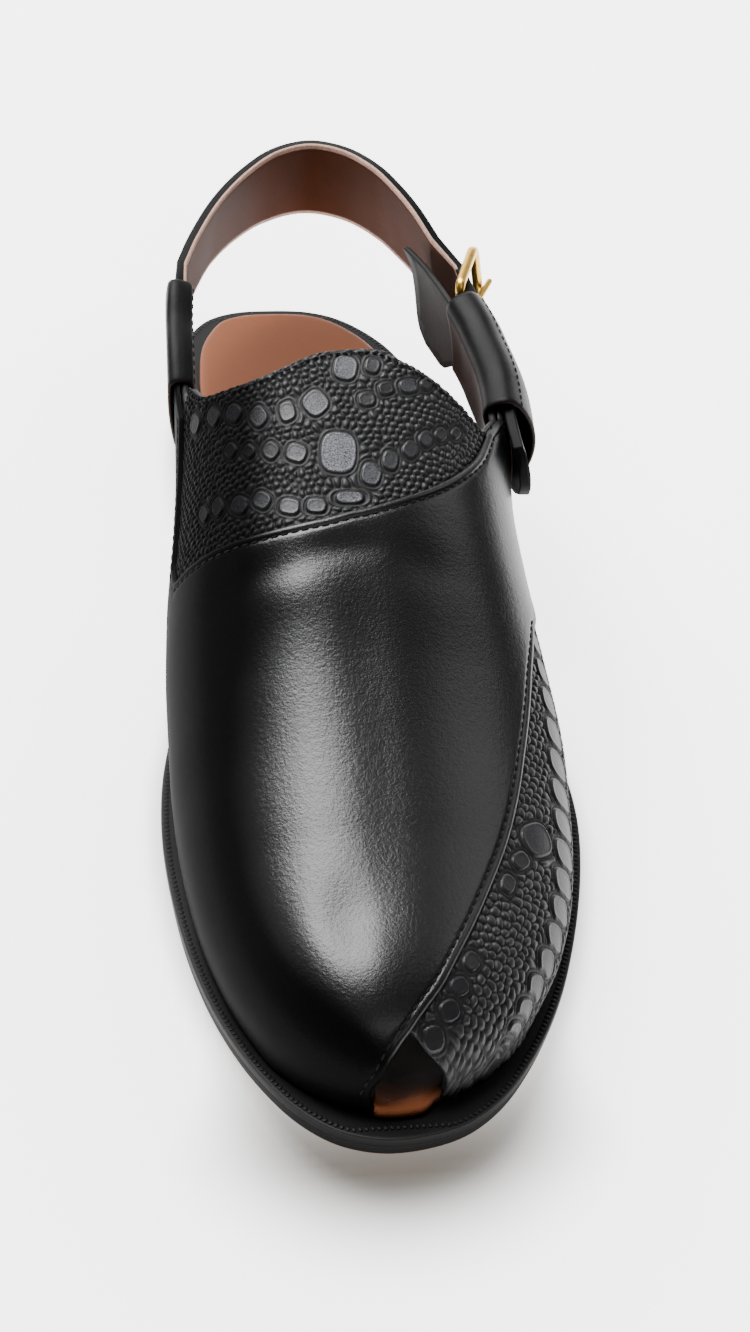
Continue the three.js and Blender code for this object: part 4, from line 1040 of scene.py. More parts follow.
def prong_rows():
    """Rings of the prong from its root on the bar to its rounded tip, past the frame's far side."""
    outward = BUCKLE["outward"]
    root = BUCKLE["bar"] + BUCKLE["reach"] * (BUCKLE_WIRE / 2 + CLEARANCE + PRONG_WIRE / 2)
    rest = (BUCKLE["bar"] + BUCKLE["reach"] * BUCKLE["length"]
            + outward * (BUCKLE_WIRE / 2 + CLEARANCE + PRONG_WIRE / 2))
    axis = unit(rest - root)
    tip = rest + axis * PRONG_WIRE * PRONG_PAST
    side = unit(np.cross(axis, BUCKLE["up"]))
    radius = PRONG_WIRE / 2
    length = float(np.linalg.norm(tip - root))
    rows = []
    stations = [(-radius * math.sin(a), math.cos(a)) for a in np.radians([88, 60, 35, 15, 0])]
    stations += [(t * length, mix(1, PRONG_TIP, t)) for t in np.linspace(0, 1, 12)]
    stations += [(length + radius * math.sin(a) * PRONG_TIP, PRONG_TIP * math.cos(a))
                 for a in np.radians([20, 45, 65, 88])]
    for at, size in stations:
        ring = [root + axis * at + (side * math.cos(b) + BUCKLE["up"] * math.sin(b)) * radius * size
                for b in np.linspace(0, 2 * math.pi, 17)[:-1]]
        rows.append(np.array(ring))
    return rows


def feed(tree, socket, value):
    """Links a value to a socket, or sets the socket to it."""
    if isinstance(value, Value):
        tree.links.new(value.socket, socket)
    else:
        socket.default_value = value


class Value:
    """A node socket that takes part in Python expressions."""

    def __init__(self, tree, socket):
        self.tree, self.socket = tree, socket

    def _math(self, operation, *values):
        node = self.tree.nodes.new("ShaderNodeMath")
        node.operation = operation
        for socket, value in zip(node.inputs, values):
            feed(self.tree, socket, value)
        return Value(self.tree, node.outputs[0])

    def __add__(self, other):
        return self._math("ADD", self, other)

    def __radd__(self, other):
        return self._math("ADD", other, self)

    def __sub__(self, other):
        return self._math("SUBTRACT", self, other)

    def __rsub__(self, other):
        return self._math("SUBTRACT", other, self)

    def __mul__(self, other):
        return self._math("MULTIPLY", self, other)

    def __rmul__(self, other):
        return self._math("MULTIPLY", other, self)

    def __truediv__(self, other):
        return self._math("DIVIDE", self, other)

    def clamp(self, low=0.0, high=1.0):
        return self._math("MINIMUM", self._math("MAXIMUM", self, low), high)

    def step(self, low, high):
        """0 below low, 1 above high, straight between."""
        return ((self - low) / (high - low)).clamp()


class Finish:
    """One material: its nodes, and the shader that they feed."""

    def __init__(self, name):
        self.material = bpy.data.materials.new(name)
        self.material.use_nodes = True
        self.tree = self.material.node_tree
        self.shader = self.tree.nodes["Principled BSDF"]
        self.place = self.node("ShaderNodeTexCoord", {}, {}, "Object")

    def node(self, kind, settings, values, output=0):
        """Adds a node: its settings first, then its sockets' values or links."""
        node = self.tree.nodes.new(kind)
        for key, value in settings.items():
            setattr(node, key, value)
        for key, value in values.items():
            feed(self.tree, node.inputs[key], value)
        return Value(self.tree, node.outputs[output])

    def attribute(self, name):
        return self.node("ShaderNodeAttribute", {"attribute_name": name}, {}, "Fac")

    def noise(self, scale, detail=3.0, roughness=0.55, place=None):
        values = {"Vector": place or self.place, "Scale": scale, "Detail": detail, "Roughness": roughness}
        return self.node("ShaderNodeTexNoise", {}, values, "Fac")

    def cells(self, scale):
        values = {"Vector": self.place, "Scale": scale, "Randomness": 1.0}
        return self.node("ShaderNodeTexVoronoi", {"feature": "SMOOTH_F1"}, values, "Distance")

    def stretched(self, scale):
        return self.node("ShaderNodeMapping", {"vector_type": "POINT"},
                         {"Vector": self.place, "Scale": scale})

    def mix(self, factor, a, b):
        """A colour between a and b."""
        node = self.tree.nodes.new("ShaderNodeMix")
        node.data_type = "RGBA"
        feed(self.tree, node.inputs[0], factor)
        for index, value in ((6, a), (7, b)):
            feed(self.tree, node.inputs[index], value if isinstance(value, Value) else (*value, 1))
        return Value(self.tree, node.outputs[2])

    def bump(self, height, strength, distance, normal=None):
        values = {"Height": height, "Strength": strength, "Distance": distance}
        if normal:
            values["Normal"] = normal
        return self.node("ShaderNodeBump", {}, values)

    def paint_shade(self, amount, tone):
        """Mixes in a dark matt shader as painted shade, by the given amount."""
        matt = self.tree.nodes.new("ShaderNodeBsdfPrincipled")
        matt.inputs["Base Color"].default_value = (*times(tone, SHADE_PAINT_TONE), 1)
        matt.inputs["Roughness"].default_value = SHADE_PAINT_ROUGHNESS
        matt.inputs["Specular IOR Level"].default_value = SHADE_PAINT_SPECULAR
        blend = self.tree.nodes.new("ShaderNodeMixShader")
        for source, socket in ((amount.socket, 0), (self.shader.outputs[0], 1), (matt.outputs[0], 2)):
            self.tree.links.new(source, blend.inputs[socket])
        self.tree.links.new(blend.outputs[0], self.tree.nodes["Material Output"].inputs["Surface"])

    def set(self, **values):
        names = {"color": "Base Color", "roughness": "Roughness", "metallic": "Metallic", "normal": "Normal",
                 "specular": "Specular IOR Level", "coat": "Coat Weight", "coat_roughness": "Coat Roughness"}
        for key, value in values.items():
            feed(self.tree, self.shader.inputs[names[key]], value)
        return self.material


def times(tone, share):
    return tuple(c * share for c in tone)


def grain(finish, pebble, wrinkle):
    """Height of leather grain: pebbles about a millimetre across with hair pores and faint wrinkles."""
    pebbles = finish.cells(pebble)
    pores = finish.noise(wrinkle * 2.2, 2.0)
    folds = finish.noise(wrinkle, 5.0, 0.65)
    return pebbles * -0.6 + pores * 0.35 + folds * 0.7


def polished_leather(black):
    """The vamp: black calf with a waxed shine, its fine grain breaking up the highlights."""
    finish = Finish("polished_black_leather")
    edge = finish.attribute("edge")
    broad = finish.noise(28.0, 3.0)
    patch = finish.noise(9.0, 2.0)
    wear_and_painted_shade = (edge * 0.6 + broad.step(0.6, 0.85) * 0.2).clamp()
    tone = finish.mix(wear_and_painted_shade, black, tuple(c * 2.2 + 0.003 for c in black))
    rough = 0.25 + patch * 0.09 + edge * 0.15
    pores = finish.noise(1900.0, 2.0, 0.6)
    pebbles = finish.cells(1000.0)
    folds = finish.noise(330.0, 4.0, 0.6)
    fine = finish.bump(pores * 0.7 + pebbles * -0.4 + folds * 0.4, 0.46, 0.00018)
    soft = finish.bump(finish.noise(40.0, 2.0), 0.06, 0.0012, fine)
    # Painted shade: a dark matt shader mixed in where the vamp turns from the light
    finish.paint_shade(finish.attribute("shade") * 0.96, black)
    return finish.set(color=tone, roughness=rough, normal=soft, specular=0.32, coat=0.05, coat_roughness=0.2)


def embossed_leather(name, groove, top, plate_painted_glint):
    """Printed leather: nearly black in its grooves, rubbed grey and shinier on scales and plates, with a
    painted glint on specks of the larger plates and painted shade where it turns from the light.
    """
    finish = Finish(name)
    height = finish.attribute("height")
    plate = finish.attribute("plate")
    specks = finish.noise(2600.0, 3.0, 0.7)
    rub = (height.step(0.45, 1.05) * (0.55 + specks * 0.75)).clamp() * (1 - plate.step(0.1, 0.3) * 0.55)
    tone = finish.mix(rub, groove, top)
    # Painted glint: specks on the larger plates take a much lighter base colour
    painted_glint = finish.mix((plate.step(0.5, 1.0) * specks.step(0.36, 0.7) * plate_painted_glint).clamp(), tone,
                       times(top, PAINTED_GLINT))
    # Painted shade: a dark matt shader mixed in where the embossed leather turns from the light
    finish.paint_shade(finish.attribute("shade") * 0.88, groove)
    rough = 0.56 - height * 0.2 - plate * 0.08 + specks * 0.1
    relief = finish.bump(specks * 0.6 + finish.noise(900.0, 3.0) * 0.7, 0.4, 0.00016)
    return finish.set(color=painted_glint, roughness=rough, normal=relief, specular=0.3)


def lining_leather(light, dark):
    """The wall under the embossed leather: dyed dark, cloudy, with fibres."""
    finish = Finish("dark_lining")
    cloud = finish.noise(34.0, 4.0, 0.6)
    fibre = finish.noise(1.0, 4.0, 0.7, finish.stretched((900.0, 260.0, 900.0)))
    tone = finish.mix((cloud.step(0.3, 0.75) * 0.8 + fibre * 0.25).clamp(), dark, light)
    relief = finish.bump(grain(finish, 900.0, 360.0) + fibre * 0.4, 0.28, 0.0002)
    return finish.set(color=tone, roughness=0.6 + cloud * 0.12, normal=relief, specular=0.25)


def insole_leather(tan):
    """The insole: soft tan, cloudy, with painted shade darkening it inside the closed toe."""
    finish = Finish("tan_insole_leather")
    cloud = finish.noise(26.0, 4.0, 0.6)
    fine = finish.noise(700.0, 3.0, 0.6)
    shade = finish.attribute("shade")
    tone = finish.mix((cloud.step(0.35, 0.7) * 0.6 + fine * 0.3).clamp(), times(tan, 0.8), tan)
    # Painted shade: the tan gives way to near black inside the closed toe
    wear_and_painted_shade = finish.mix(shade * 0.97, tone, (0.006, 0.003, 0.002))
    relief = finish.bump(grain(finish, 1000.0, 380.0), 0.25, 0.00016)
    return finish.set(color=wear_and_painted_shade, roughness=0.55 + cloud * 0.1, normal=relief, specular=0.18)


def strap_leather(black, edge, brown):
    """The strap: black outside, brown inside, with raw pink edges, told apart by the side attribute."""
    finish = Finish("strap_leather")
    side = finish.attribute("side")
    cloud = finish.noise(45.0, 4.0)
    fibre = finish.noise(1400.0, 3.0, 0.7)
    outside = finish.mix(cloud.step(0.4, 0.8) * 0.5, black, times(black, 1.7))
    inside_tone = finish.mix((cloud * 0.9 + fibre * 0.3 - 0.2).clamp(), times(brown, 0.45), brown)
    raw = finish.mix(fibre.step(0.35, 0.7), times(edge, 0.62), edge)
    inner = finish.mix(side.step(-0.6, -0.4), inside_tone, raw)
    tone = finish.mix(side.step(0.4, 0.6), inner, outside)
    relief = finish.bump(grain(finish, 1000.0, 400.0), 0.3, 0.00016)
    rough = 0.58 + cloud * 0.1 - side.step(0.4, 0.6) * 0.12
    return finish.set(color=tone, roughness=rough, normal=relief, specular=0.07)


def loop_leather(black, brown):
    """The sleeve and the keeper: black outside and dark brown in their bores."""
    finish = Finish("loop_leather")
    side = finish.attribute("side")
    cloud = finish.noise(50.0, 4.0)
    tone = finish.mix(side.step(0.3, 0.7), brown,
                      finish.mix(cloud.step(0.4, 0.8) * 0.5, black, times(black, 1.7)))
    relief = finish.bump(grain(finish, 1000.0, 400.0), 0.3, 0.00016)
    return finish.set(color=tone, roughness=0.42 + cloud * 0.12, normal=relief, specular=0.1)


def welt_leather(black, brown):
    """Dyed and burnished sole edge: lighter along its rubbed top line."""
    finish = Finish("welt_leather")
    level = finish.attribute("level")
    streak = finish.noise(1.0, 3.0, 0.6, finish.stretched((30.0, 30.0, 700.0)))
    cloud = finish.noise(40.0, 3.0)
    wear_and_painted_shade = (level.step(0.72, 0.92) * (1 - level.step(0.97, 1.0)) * (0.35 + cloud * 0.5)).clamp()
    tone = finish.mix(wear_and_painted_shade, black, brown)
    relief = finish.bump(streak + finish.noise(900.0, 3.0) * 0.5, 0.25, 0.0002)
    return finish.set(color=tone, roughness=0.42 + cloud * 0.15 + streak * 0.08, normal=relief, specular=0.12)


def sole_leather(black, brown):
    """Outsole: black edge, a thin undyed line low down and a scuffed brown underside."""
    finish = Finish("sole_leather")
    level = finish.attribute("level")
    cloud = finish.noise(30.0, 4.0)
    scuff = finish.noise(1.0, 4.0, 0.7, finish.stretched((260.0, 60.0, 260.0)))
    bare = 1 - level.step(0.1, 0.2)
    scuffed = finish.mix((cloud * 0.7 + scuff * 0.5).clamp(), times(brown, 0.55), brown)
    tone = finish.mix(bare, black, scuffed)
    relief = finish.bump(scuff + finish.noise(700.0, 3.0) * 0.5, 0.3, 0.00025)
    return finish.set(color=tone, roughness=0.5 + cloud * 0.2, normal=relief, specular=0.12)


def heel_leather(black, rubber):
    """Stacked heel: fine lines between its lifts, and a matt rubber top piece."""
    finish = Finish("stacked_heel")
    level = finish.attribute("level")
    line = finish.node("ShaderNodeMath", {"operation": "PINGPONG"}, {0: level * HEEL_LIFTS, 1: 0.5})
    seam = 1 - line.step(0.0, 0.09)
    cloud = finish.noise(60.0, 4.0)
    streak = finish.noise(1.0, 3.0, 0.6, finish.stretched((40.0, 40.0, 900.0)))
    top_piece = 1 - level.step(HEEL_TOP_PIECE / HEEL_HEIGHT - 0.01, HEEL_TOP_PIECE / HEEL_HEIGHT)
    stacked = finish.mix(streak.step(0.3, 0.8) * 0.5, black, times(black, 1.8))
    tone = finish.mix(top_piece, stacked, rubber)
    height = streak * 0.5 - seam * 0.9 * (1 - top_piece) + finish.noise(800.0, 3.0) * 0.5
    relief = finish.bump(height, 0.35, 0.0003)
    rough = 0.4 + cloud * 0.12 + top_piece * 0.25
    return finish.set(color=tone, roughness=rough, normal=relief, specular=0.3)


def thread(tone):
    """Waxed thread with a faint twist."""
    finish = Finish("waxed_thread")
    twist = finish.noise(1600.0, 2.0)
    return finish.set(color=finish.mix(twist.step(0.3, 0.7), times(tone, 0.6), tone),
                      roughness=0.6 + twist * 0.15, normal=finish.bump(twist, 0.4, 0.0002), specular=0.05)


def brass(tone):
    """Cast brass with fine polishing scratches and faint tarnish."""
    finish = Finish("polished_brass")
    scratch = finish.noise(1.0, 3.0, 0.6, finish.stretched((300.0, 2400.0, 300.0)))
    tarnish = finish.noise(160.0, 4.0)
    color = finish.mix(tarnish.step(0.5, 0.85) * 0.5, tone, (tone[0] * 0.6, tone[1] * 0.5, tone[2] * 0.4))
    return finish.set(color=color, roughness=0.2 + tarnish * 0.14 + scratch * 0.06, metallic=1.0,
                      normal=finish.bump(scratch, 0.12, 0.0001))


def floor_paint(tone):
    """A pale floor that glows by emission, with painted shadow in its glow and colour close round the sole,
    as under a wide sky of lamps.
    """
    finish = Finish("pale_floor")
    soft = finish.noise(3.0, 3.0)
    split = finish.node("ShaderNodeSeparateXYZ", {}, {"Vector": finish.place})
    # Painted shade: the glow is painted dimmer towards the left
    glow = finish.mix(split.step(-0.5, 0.1), times(tone, 0.8), tone)
    # Painted shadow: the glow gives way to the dark shadow tone close round the sole
    glow = finish.mix(finish.attribute("shade"), glow, FLOOR_SHADE)
    finish.tree.links.new(glow.socket, finish.shader.inputs["Emission Color"])
    finish.shader.inputs["Emission Strength"].default_value = FLOOR_GLOW
    paint = finish.mix(soft * 0.1, tone, times(tone, 0.97))
    # Painted shadow: the floor's colour darkens close round the sole
    color = finish.mix(finish.attribute("shade") * 0.95, paint, FLOOR_SHADE)
    return finish.set(color=color, roughness=0.8, specular=0.2)


def row_tree(name):
    """A tree that sets small padded shapes along lines: stitches and ribs."""
    tree = bpy.data.node_groups.new(name, "GeometryNodeTree")
    add_socket = tree.interface.new_socket
    add_socket(name="Lines", in_out="INPUT", socket_type="NodeSocketGeometry")
    for label, value in (("Pitch", 0.0024), ("Length", 0.0018), ("Width", 0.0006), ("Height", 0.0004)):
        add_socket(name=label, in_out="INPUT", socket_type="NodeSocketFloat").default_value = value
    add_socket(name="Finish", in_out="INPUT", socket_type="NodeSocketMaterial")
    add_socket(name="Pieces", in_out="OUTPUT", socket_type="NodeSocketGeometry")

    def add(kind, settings=None, **links):
        node = tree.nodes.new(kind)
        for key, value in (settings or {}).items():
            setattr(node, key, value)
        for key, value in links.items():
            socket = node.inputs[key.replace("_", " ")]
            if isinstance(value, bpy.types.NodeSocket):
                tree.links.new(value, socket)
            else:
                socket.default_value = value
        return node

    start = add("NodeGroupInput").outputs
    curve = add("GeometryNodeMeshToCurve", Mesh=start["Lines"])
    even = add("GeometryNodeResampleCurve", {"mode": "LENGTH"}, Curve=curve.outputs[0], Length=start["Pitch"])
    out = add("GeometryNodeInputNamedAttribute", {"data_type": "FLOAT_VECTOR"}, Name="out")
    tangent = add("GeometryNodeInputTangent")
    lie = add("FunctionNodeAlignRotationToVector", {"axis": "X"}, Vector=tangent.outputs[0])
    stand = add("FunctionNodeAlignRotationToVector", {"axis": "Z", "pivot_axis": "X"},
                Rotation=lie.outputs[0], Vector=out.outputs[0])
    ball = add("GeometryNodeMeshUVSphere", Segments=8, Rings=5, Radius=0.5)
    size = add("ShaderNodeCombineXYZ", X=start["Length"], Y=start["Width"], Z=start["Height"])
    shaped = add("GeometryNodeTransform", Geometry=ball.outputs[0], Scale=size.outputs[0])
    placed = add("GeometryNodeInstanceOnPoints", Points=even.outputs[0], Instance=shaped.outputs[0],
                 Rotation=stand.outputs[0])
    real = add("GeometryNodeRealizeInstances", Geometry=placed.outputs[0])
    smooth = add("GeometryNodeSetShadeSmooth", Geometry=real.outputs[0])
    finished = add("GeometryNodeSetMaterial", Geometry=smooth.outputs[0], Material=start["Finish"])
    end = add("NodeGroupOutput")
    tree.links.new(finished.outputs[0], end.inputs["Pieces"])
    return tree


def line_object(name, lines):
    """Polylines with the way out of the surface at each point. lines: points, outs and closed, mm."""
    points, outs, edges = [], [], []
    for run, out, closed in lines:
        start = len(points)
        points += [tuple(p) for p in np.asarray(run) * MM]
        outs += [tuple(o) for o in np.asarray(out)]
        edges += [(start + i, start + i + 1) for i in range(len(run) - 1)]
        if closed:
            edges.append((start + len(run) - 1, start))
    mesh = bpy.data.meshes.new(name)
    mesh.from_pydata(points, edges, [])
    ways = mesh.attributes.new("out", "FLOAT_VECTOR", "POINT")
    ways.data.foreach_set("vector", np.array(outs, np.float32).ravel())
    return linked(name, mesh)


def set_in_rows(name, lines, material, pitch, length, width, height):
    """Runs the row tree along lines and keeps the result as a plain mesh."""
    tree = bpy.data.node_groups.get("rows_along_lines") or row_tree("rows_along_lines")
    guide = line_object(name + "_line", lines)
    modifier = guide.modifiers.new("rows", "NODES")
    modifier.node_group = tree
    values = {"Pitch": pitch * MM, "Length": length * MM, "Width": width * MM, "Height": height * MM,
              "Finish": material}
    for item in tree.interface.items_tree:
        if item.item_type == "SOCKET" and item.in_out == "INPUT" and item.name in values:
            modifier[item.identifier] = values[item.name]
    bpy.context.view_layer.update()
    graph = bpy.context.evaluated_depsgraph_get()
    mesh = bpy.data.meshes.new_from_object(guide.evaluated_get(graph))
    if not mesh.polygons:
        raise RuntimeError(f"{name} came out empty")
    mesh.materials.clear()
    mesh.materials.append(material)
    bpy.data.objects.remove(guide)
    mesh.name = name
    return linked(name, mesh)


def finish_piece(piece, material=None, replaces=()):
    if material:
        piece.data.materials.clear()
        piece.data.materials.append(material)
    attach(piece, "root")
    if replaces:
        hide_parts(*replaces)
    return piece


def edge_lines(piece_runs, chosen, depth, offset):
    """The stretches of a pattern piece's edge that follow a chosen run, moved inwards by a depth."""
    ring = outline_points(piece_runs, 1.0)
    inner = ring + inward_steps(ring) * depth
    inner[:, 0] = np.clip(inner[:, 0], -0.99, 0.99)
    guide = outline_points([chosen], 0.5, closed=False)
    away = distance_from(face(*guide.T), face(*ring.T), closed=False)
    near = away < EDGE_REACH
    start = int(np.argmin(near)) if not near.all() else 0
    lines = [[]]
    for index in (np.arange(len(ring)) + start) % len(ring):
        if near[index]:
            lines[-1].append(index)
        elif lines[-1]:
            lines.append([])
    made = []
    for line in lines:
        if len(line) > SHORTEST_LINE:
            g, s = inner[line].T
            made.append((last(g, s, np.full(len(g), float(offset))), normal_at(g, s), False))
    return made


class ChappalColours(bpy.types.PropertyGroup):
    """Colours of the leathers, thread and brass."""

    def _colour(name, description, value):
        return bpy.props.FloatVectorProperty(name=name, description=description, default=value, min=0, max=1,
                                             subtype="COLOR")

    black: _colour("Black leather", "Colour of the smooth black leather", (0.0016, 0.0016, 0.0018))
    groove: _colour("Grooves", "Colour in the grooves of the embossed leather", (0.0012, 0.0012, 0.0014))
    scale: _colour("Scales", "Colour on the tops of the scales", (0.011, 0.011, 0.0125))
    panel: _colour("Side panel", "Colour on the scales of the side panel", (0.012, 0.012, 0.0135))
    tan: _colour("Insole", "Colour of the tan insole leather", (0.18, 0.049, 0.0125))
    brown: _colour("Lining", "Colour of the brown strap lining", (0.10, 0.029, 0.011))
    raw: _colour("Raw edge", "Colour of the strap's raw edge", (0.58, 0.36, 0.28))
    sole: _colour("Sole edge", "Colour of the dyed sole edge", (0.0018, 0.0018, 0.002))
    burnish: _colour("Worn edge", "Colour of the sole's rubbed top line", (0.02, 0.018, 0.017))
    underside: _colour("Underside", "Colour of the bare sole leather", (0.26, 0.13, 0.065))
    brass: _colour("Brass", "Colour of the buckle", (0.60, 0.36, 0.075))
    floor: _colour("Floor", "Colour of the studio floor", (0.84, 0.84, 0.845))


class ChappalSizes(bpy.types.PropertyGroup):
    """Sizes of the fine work, in metres, and the camera's lens."""

    def _length(name, description, value, least):
        return bpy.props.FloatProperty(name=name, description=description, default=value, min=least,
                                       unit="LENGTH")

    stitch_pitch: _length("Stitch pitch", "Distance between stitches", 0.0025, 0.001)
    stitch_length: _length("Stitch length", "Length of one stitch", 0.0019, 0.0005)
    rib_pitch: _length("Rib pitch", "Distance between the welt's ribs", 0.0014, 0.0005)
    grid: _length("Embossing grid", "Distance between points of the embossed leather", 0.00036, 0.0002)
    lens: bpy.props.FloatProperty(
        name="Lens", description="Focal length of the camera in millimetres", default=58.8, min=10, max=300)


def colours():
    return bpy.context.scene.chappal_colours


def sizes():
    return bpy.context.scene.chappal_sizes


def cached(maker, *args):
    """One material for each maker and its values."""
    values = tuple(a if isinstance(a, (str, float)) else tuple(a) for a in args)
    key = (maker.__name__, *values)
    if key not in MATERIALS:
        MATERIALS[key] = maker(*values)
    return MATERIALS[key]


MATERIALS = {}


class PieceOperator:
    """What the operators share."""

    bl_options = {"REGISTER", "UNDO"}

    def execute(self, context):
        self.make(colours(), sizes())
        return {"FINISHED"}


class CHAPPAL_OT_vamp(PieceOperator, bpy.types.Operator):
    """Lasts the smooth vamp with its folded, stitched edge"""

    bl_idname = "chappal.vamp"
    bl_label = "Vamp"

    def make(self, tone, size):
        vamp = leather_panel("vamp_leather", vamp_runs(), VAMP_INNER, vamp_face, spacing=1.5,
                             depths=HEM_DEPTHS)
        finish_piece(vamp, cached(polished_leather, tone.black), ["vamp"])


class CHAPPAL_OT_upper(PieceOperator, bpy.types.Operator):
    """Lasts the lining wall that carries the embossed pieces"""

    bl_idname = "chappal.upper"
    bl_label = "Lining wall"

    def make(self, tone, size):
        def wall(girth, share, depth):
            return WALL_FACE + edge_profile(PLAIN_EDGE, depth), {"edge": 1 - ease(depth, 0, 1)}

        piece = leather_panel("upper_lining", upper_runs(), WALL_INNER, wall, spacing=3.0,
                              depths=WALL_DEPTHS, back_spacing=3.0)
        lining = cached(lining_leather, (0.006, 0.0055, 0.0055), (0.003, 0.0028, 0.0028))
        finish_piece(piece, lining, ["upper"])


class CHAPPAL_OT_flap(PieceOperator, bpy.types.Operator):
    """Embosses the instep flap with small pebbles and ringed plates"""

    bl_idname = "chappal.flap"
    bl_label = "Instep flap"

    def make(self, tone, size):
        top = embossed(FLAP_PLATES, FLAP_SCALES, FLAP_SEED, vamp_runs(), relief=0.88)
        piece = leather_panel("instep_flap", flap_runs(), SKIN_INNER, top, spacing=size.grid / MM,
                              rim_spacing=0.4, depths=LEATHER_DEPTHS)
        finish_piece(piece,
                     cached(embossed_leather, "pebbled_leather", tone.groove, tone.scale, 1.0))


class CHAPPAL_OT_panel(PieceOperator, bpy.types.Operator):
    """Embosses the side panel with flat scales and a row of long plates"""

    bl_idname = "chappal.panel"
    bl_label = "Side panel"

    def make(self, tone, size):
        top = embossed(PANEL_PLATES, PANEL_SCALES, PANEL_SEED, vamp_runs())
        piece = leather_panel("side_panel", panel_runs(), SKIN_INNER, top, spacing=size.grid / MM * 1.1,
                              rim_spacing=0.45, depths=LEATHER_DEPTHS)
        finish_piece(piece,
                     cached(embossed_leather, "scaled_leather", tone.groove, tone.panel, 0.05))


class CHAPPAL_OT_insole(PieceOperator, bpy.types.Operator):
    """Covers the insole with tan leather, dished at the heel"""

    bl_idname = "chappal.insole"
    bl_label = "Insole"

    def make(self, tone, size):
        def margin(share, side):
            """How far the cover ends inside the sole's edge: wide where it shows in the open toe."""
            back = mix(6.5, WELT_SHELF - WALL_INNER + 0.7, ease(share, 0.22, 0.4))
            toe = back + 9.4 * ease(share, 0.85, 0.95)
            if side == "lateral":
                toe = mix(toe, 8.4, ease(share, 0.945, 0.957))
            return mix(toe, 6.2, ease(share, 0.992, 0.998))

        # Painted shade on the insole: 0 where the open toe is lit, 1 further inside, fading out towards the
        # heel
        def shade(points):
            return ease(points[:, 1], *TOE_LIGHT) * ease(-points[:, 1], 60, 90)

        def dish(share, across):
            return -0.5 * math.sin(math.pi * across) ** 2 * ease(share, 0.02, 0.12)

        piece = sole_layer("insole_cover", lambda y: sole_top(y) + CLEARANCE,
                           lambda y: sole_top(y) + CLEARANCE + INSOLE,
                           [(0.3, 0), (0, 0.08), (0, 0.5), (0.12, 0.66), (0.45, 0.82), (1.0, 0.94),
                            (1.7, 0.99), (2.6, 1.0)], inset=margin, dish=dish, shade=shade)
        finish_piece(piece, cached(insole_leather, tone.tan), ["insole"])


class CHAPPAL_OT_sole(PieceOperator, bpy.types.Operator):
    """Builds the welt with its ribs, the outsole and the stacked heel"""

    bl_idname = "chappal.sole"
    bl_label = "Welt, outsole and heel"

    def make(self, tone, size):
        welt = sole_layer("welt_strip", lambda y: rise(y) + OUTSOLE + CLEARANCE * 0.3, sole_top,
                          [(0.5, 0), (0.15, 0.1), (0, 0.25), (0, 0.78), (0.1, 0.9), (0.32, 0.97), (0.6, 1.0),
                           (1.0, 1.0)])
        edge_black = cached(welt_leather, tone.sole, tone.burnish)
        finish_piece(welt, edge_black, ["welt"])
        outsole = sole_layer("outsole_leather", rise, lambda y: rise(y) + OUTSOLE,
                             [(1.6, 0), (1.0, 0.03), (0.62, 0.1), (0.5, 0.2), (0.5, 0.85), (0.6, 0.95),
                              (0.8, 1.0)])
        finish_piece(outsole, cached(sole_leather, tone.sole, tone.underside), ["outsole"])
        y = along(np.linspace(0.012, 0.992, 420))
        runs = [np.column_stack([edge_point(side, y, RIB_INSET), sole_top(y)])
                for side in ("medial", "lateral")]
        ring = np.vstack([runs[0], runs[1][::-1]])
        out = np.tile([0.0, 0.0, 1.0], (len(ring), 1))
        ribs = set_in_rows("welt_ribs", [(ring, out, True)], edge_black, size.rib_pitch / MM, *RIB)
        finish_piece(ribs)
        groove = HEEL_TOP_PIECE / HEEL_HEIGHT
        lip = HEEL_LIP / HEEL_HEIGHT
        taper = lambda level: mix(HEEL_TAPER, EDGE_ROUND, level) + EDGE_ROUND
        rows = [(taper(0) + 0.9, 0), (taper(0) + 0.3, lip * 0.4), (taper(lip), lip * 1.4),
                (taper(groove), groove - lip * 1.2), (taper(groove) + 0.12, groove - lip * 0.5),
                (taper(groove) + 0.45, groove), (taper(groove) + 0.12, groove + lip * 0.5)]
        rows += [(taper(level), level) for level in np.linspace(groove + lip * 1.2, 0.97, 9)]
        rows += [(taper(1) + 0.2, 1.0)]
        heel = sole_layer("stacked_heel", lambda y: np.zeros_like(y), lambda y: rise(y) - CLEARANCE, rows,
                          to=HEEL_LENGTH / SOLE_LENGTH,
                          front=lambda level: BREAST_HOLLOW * 2 * level * (1 - level), stations=60)
        finish_piece(heel, cached(heel_leather, tone.sole, (0.02, 0.02, 0.021)), ["heel"])


class CHAPPAL_OT_strap(PieceOperator, bpy.types.Operator):
    """Runs the heel strap round the heel and makes both leather loops"""

    bl_idname = "chappal.strap"
    bl_label = "Heel strap and loops"

    def make(self, tone, size):
        rows, side = strap_rows()
        side = np.tile(side, (len(rows), 1))
        side[-INKED_ROWS:][side[-INKED_ROWS:] == 0] = 1
        side[-TIP_ROWS:] = 1
        strap = loft_rows("heel_strap_leather", rows, {"side": side})
        finish_piece(strap, cached(strap_leather, tone.black, tone.raw, tone.brown), ["heel_strap"])
        skin = cached(loop_leather, tone.black, times(tone.brown, LOOP_BORE_TONE))
        medial = leather_loop("medial_sleeve", "medial", MEDIAL_LOOP, WALL_INNER, 0.0)
        finish_piece(medial, skin, ["medial_loop"])
        keeper = leather_loop("lateral_keeper", "lateral", KEEPER_SPAN, WALL_INNER, CLEARANCE + STRAP_LEATHER,
                              KEEPER_CROWN)
        finish_piece(keeper, skin, ["lateral_loop"])


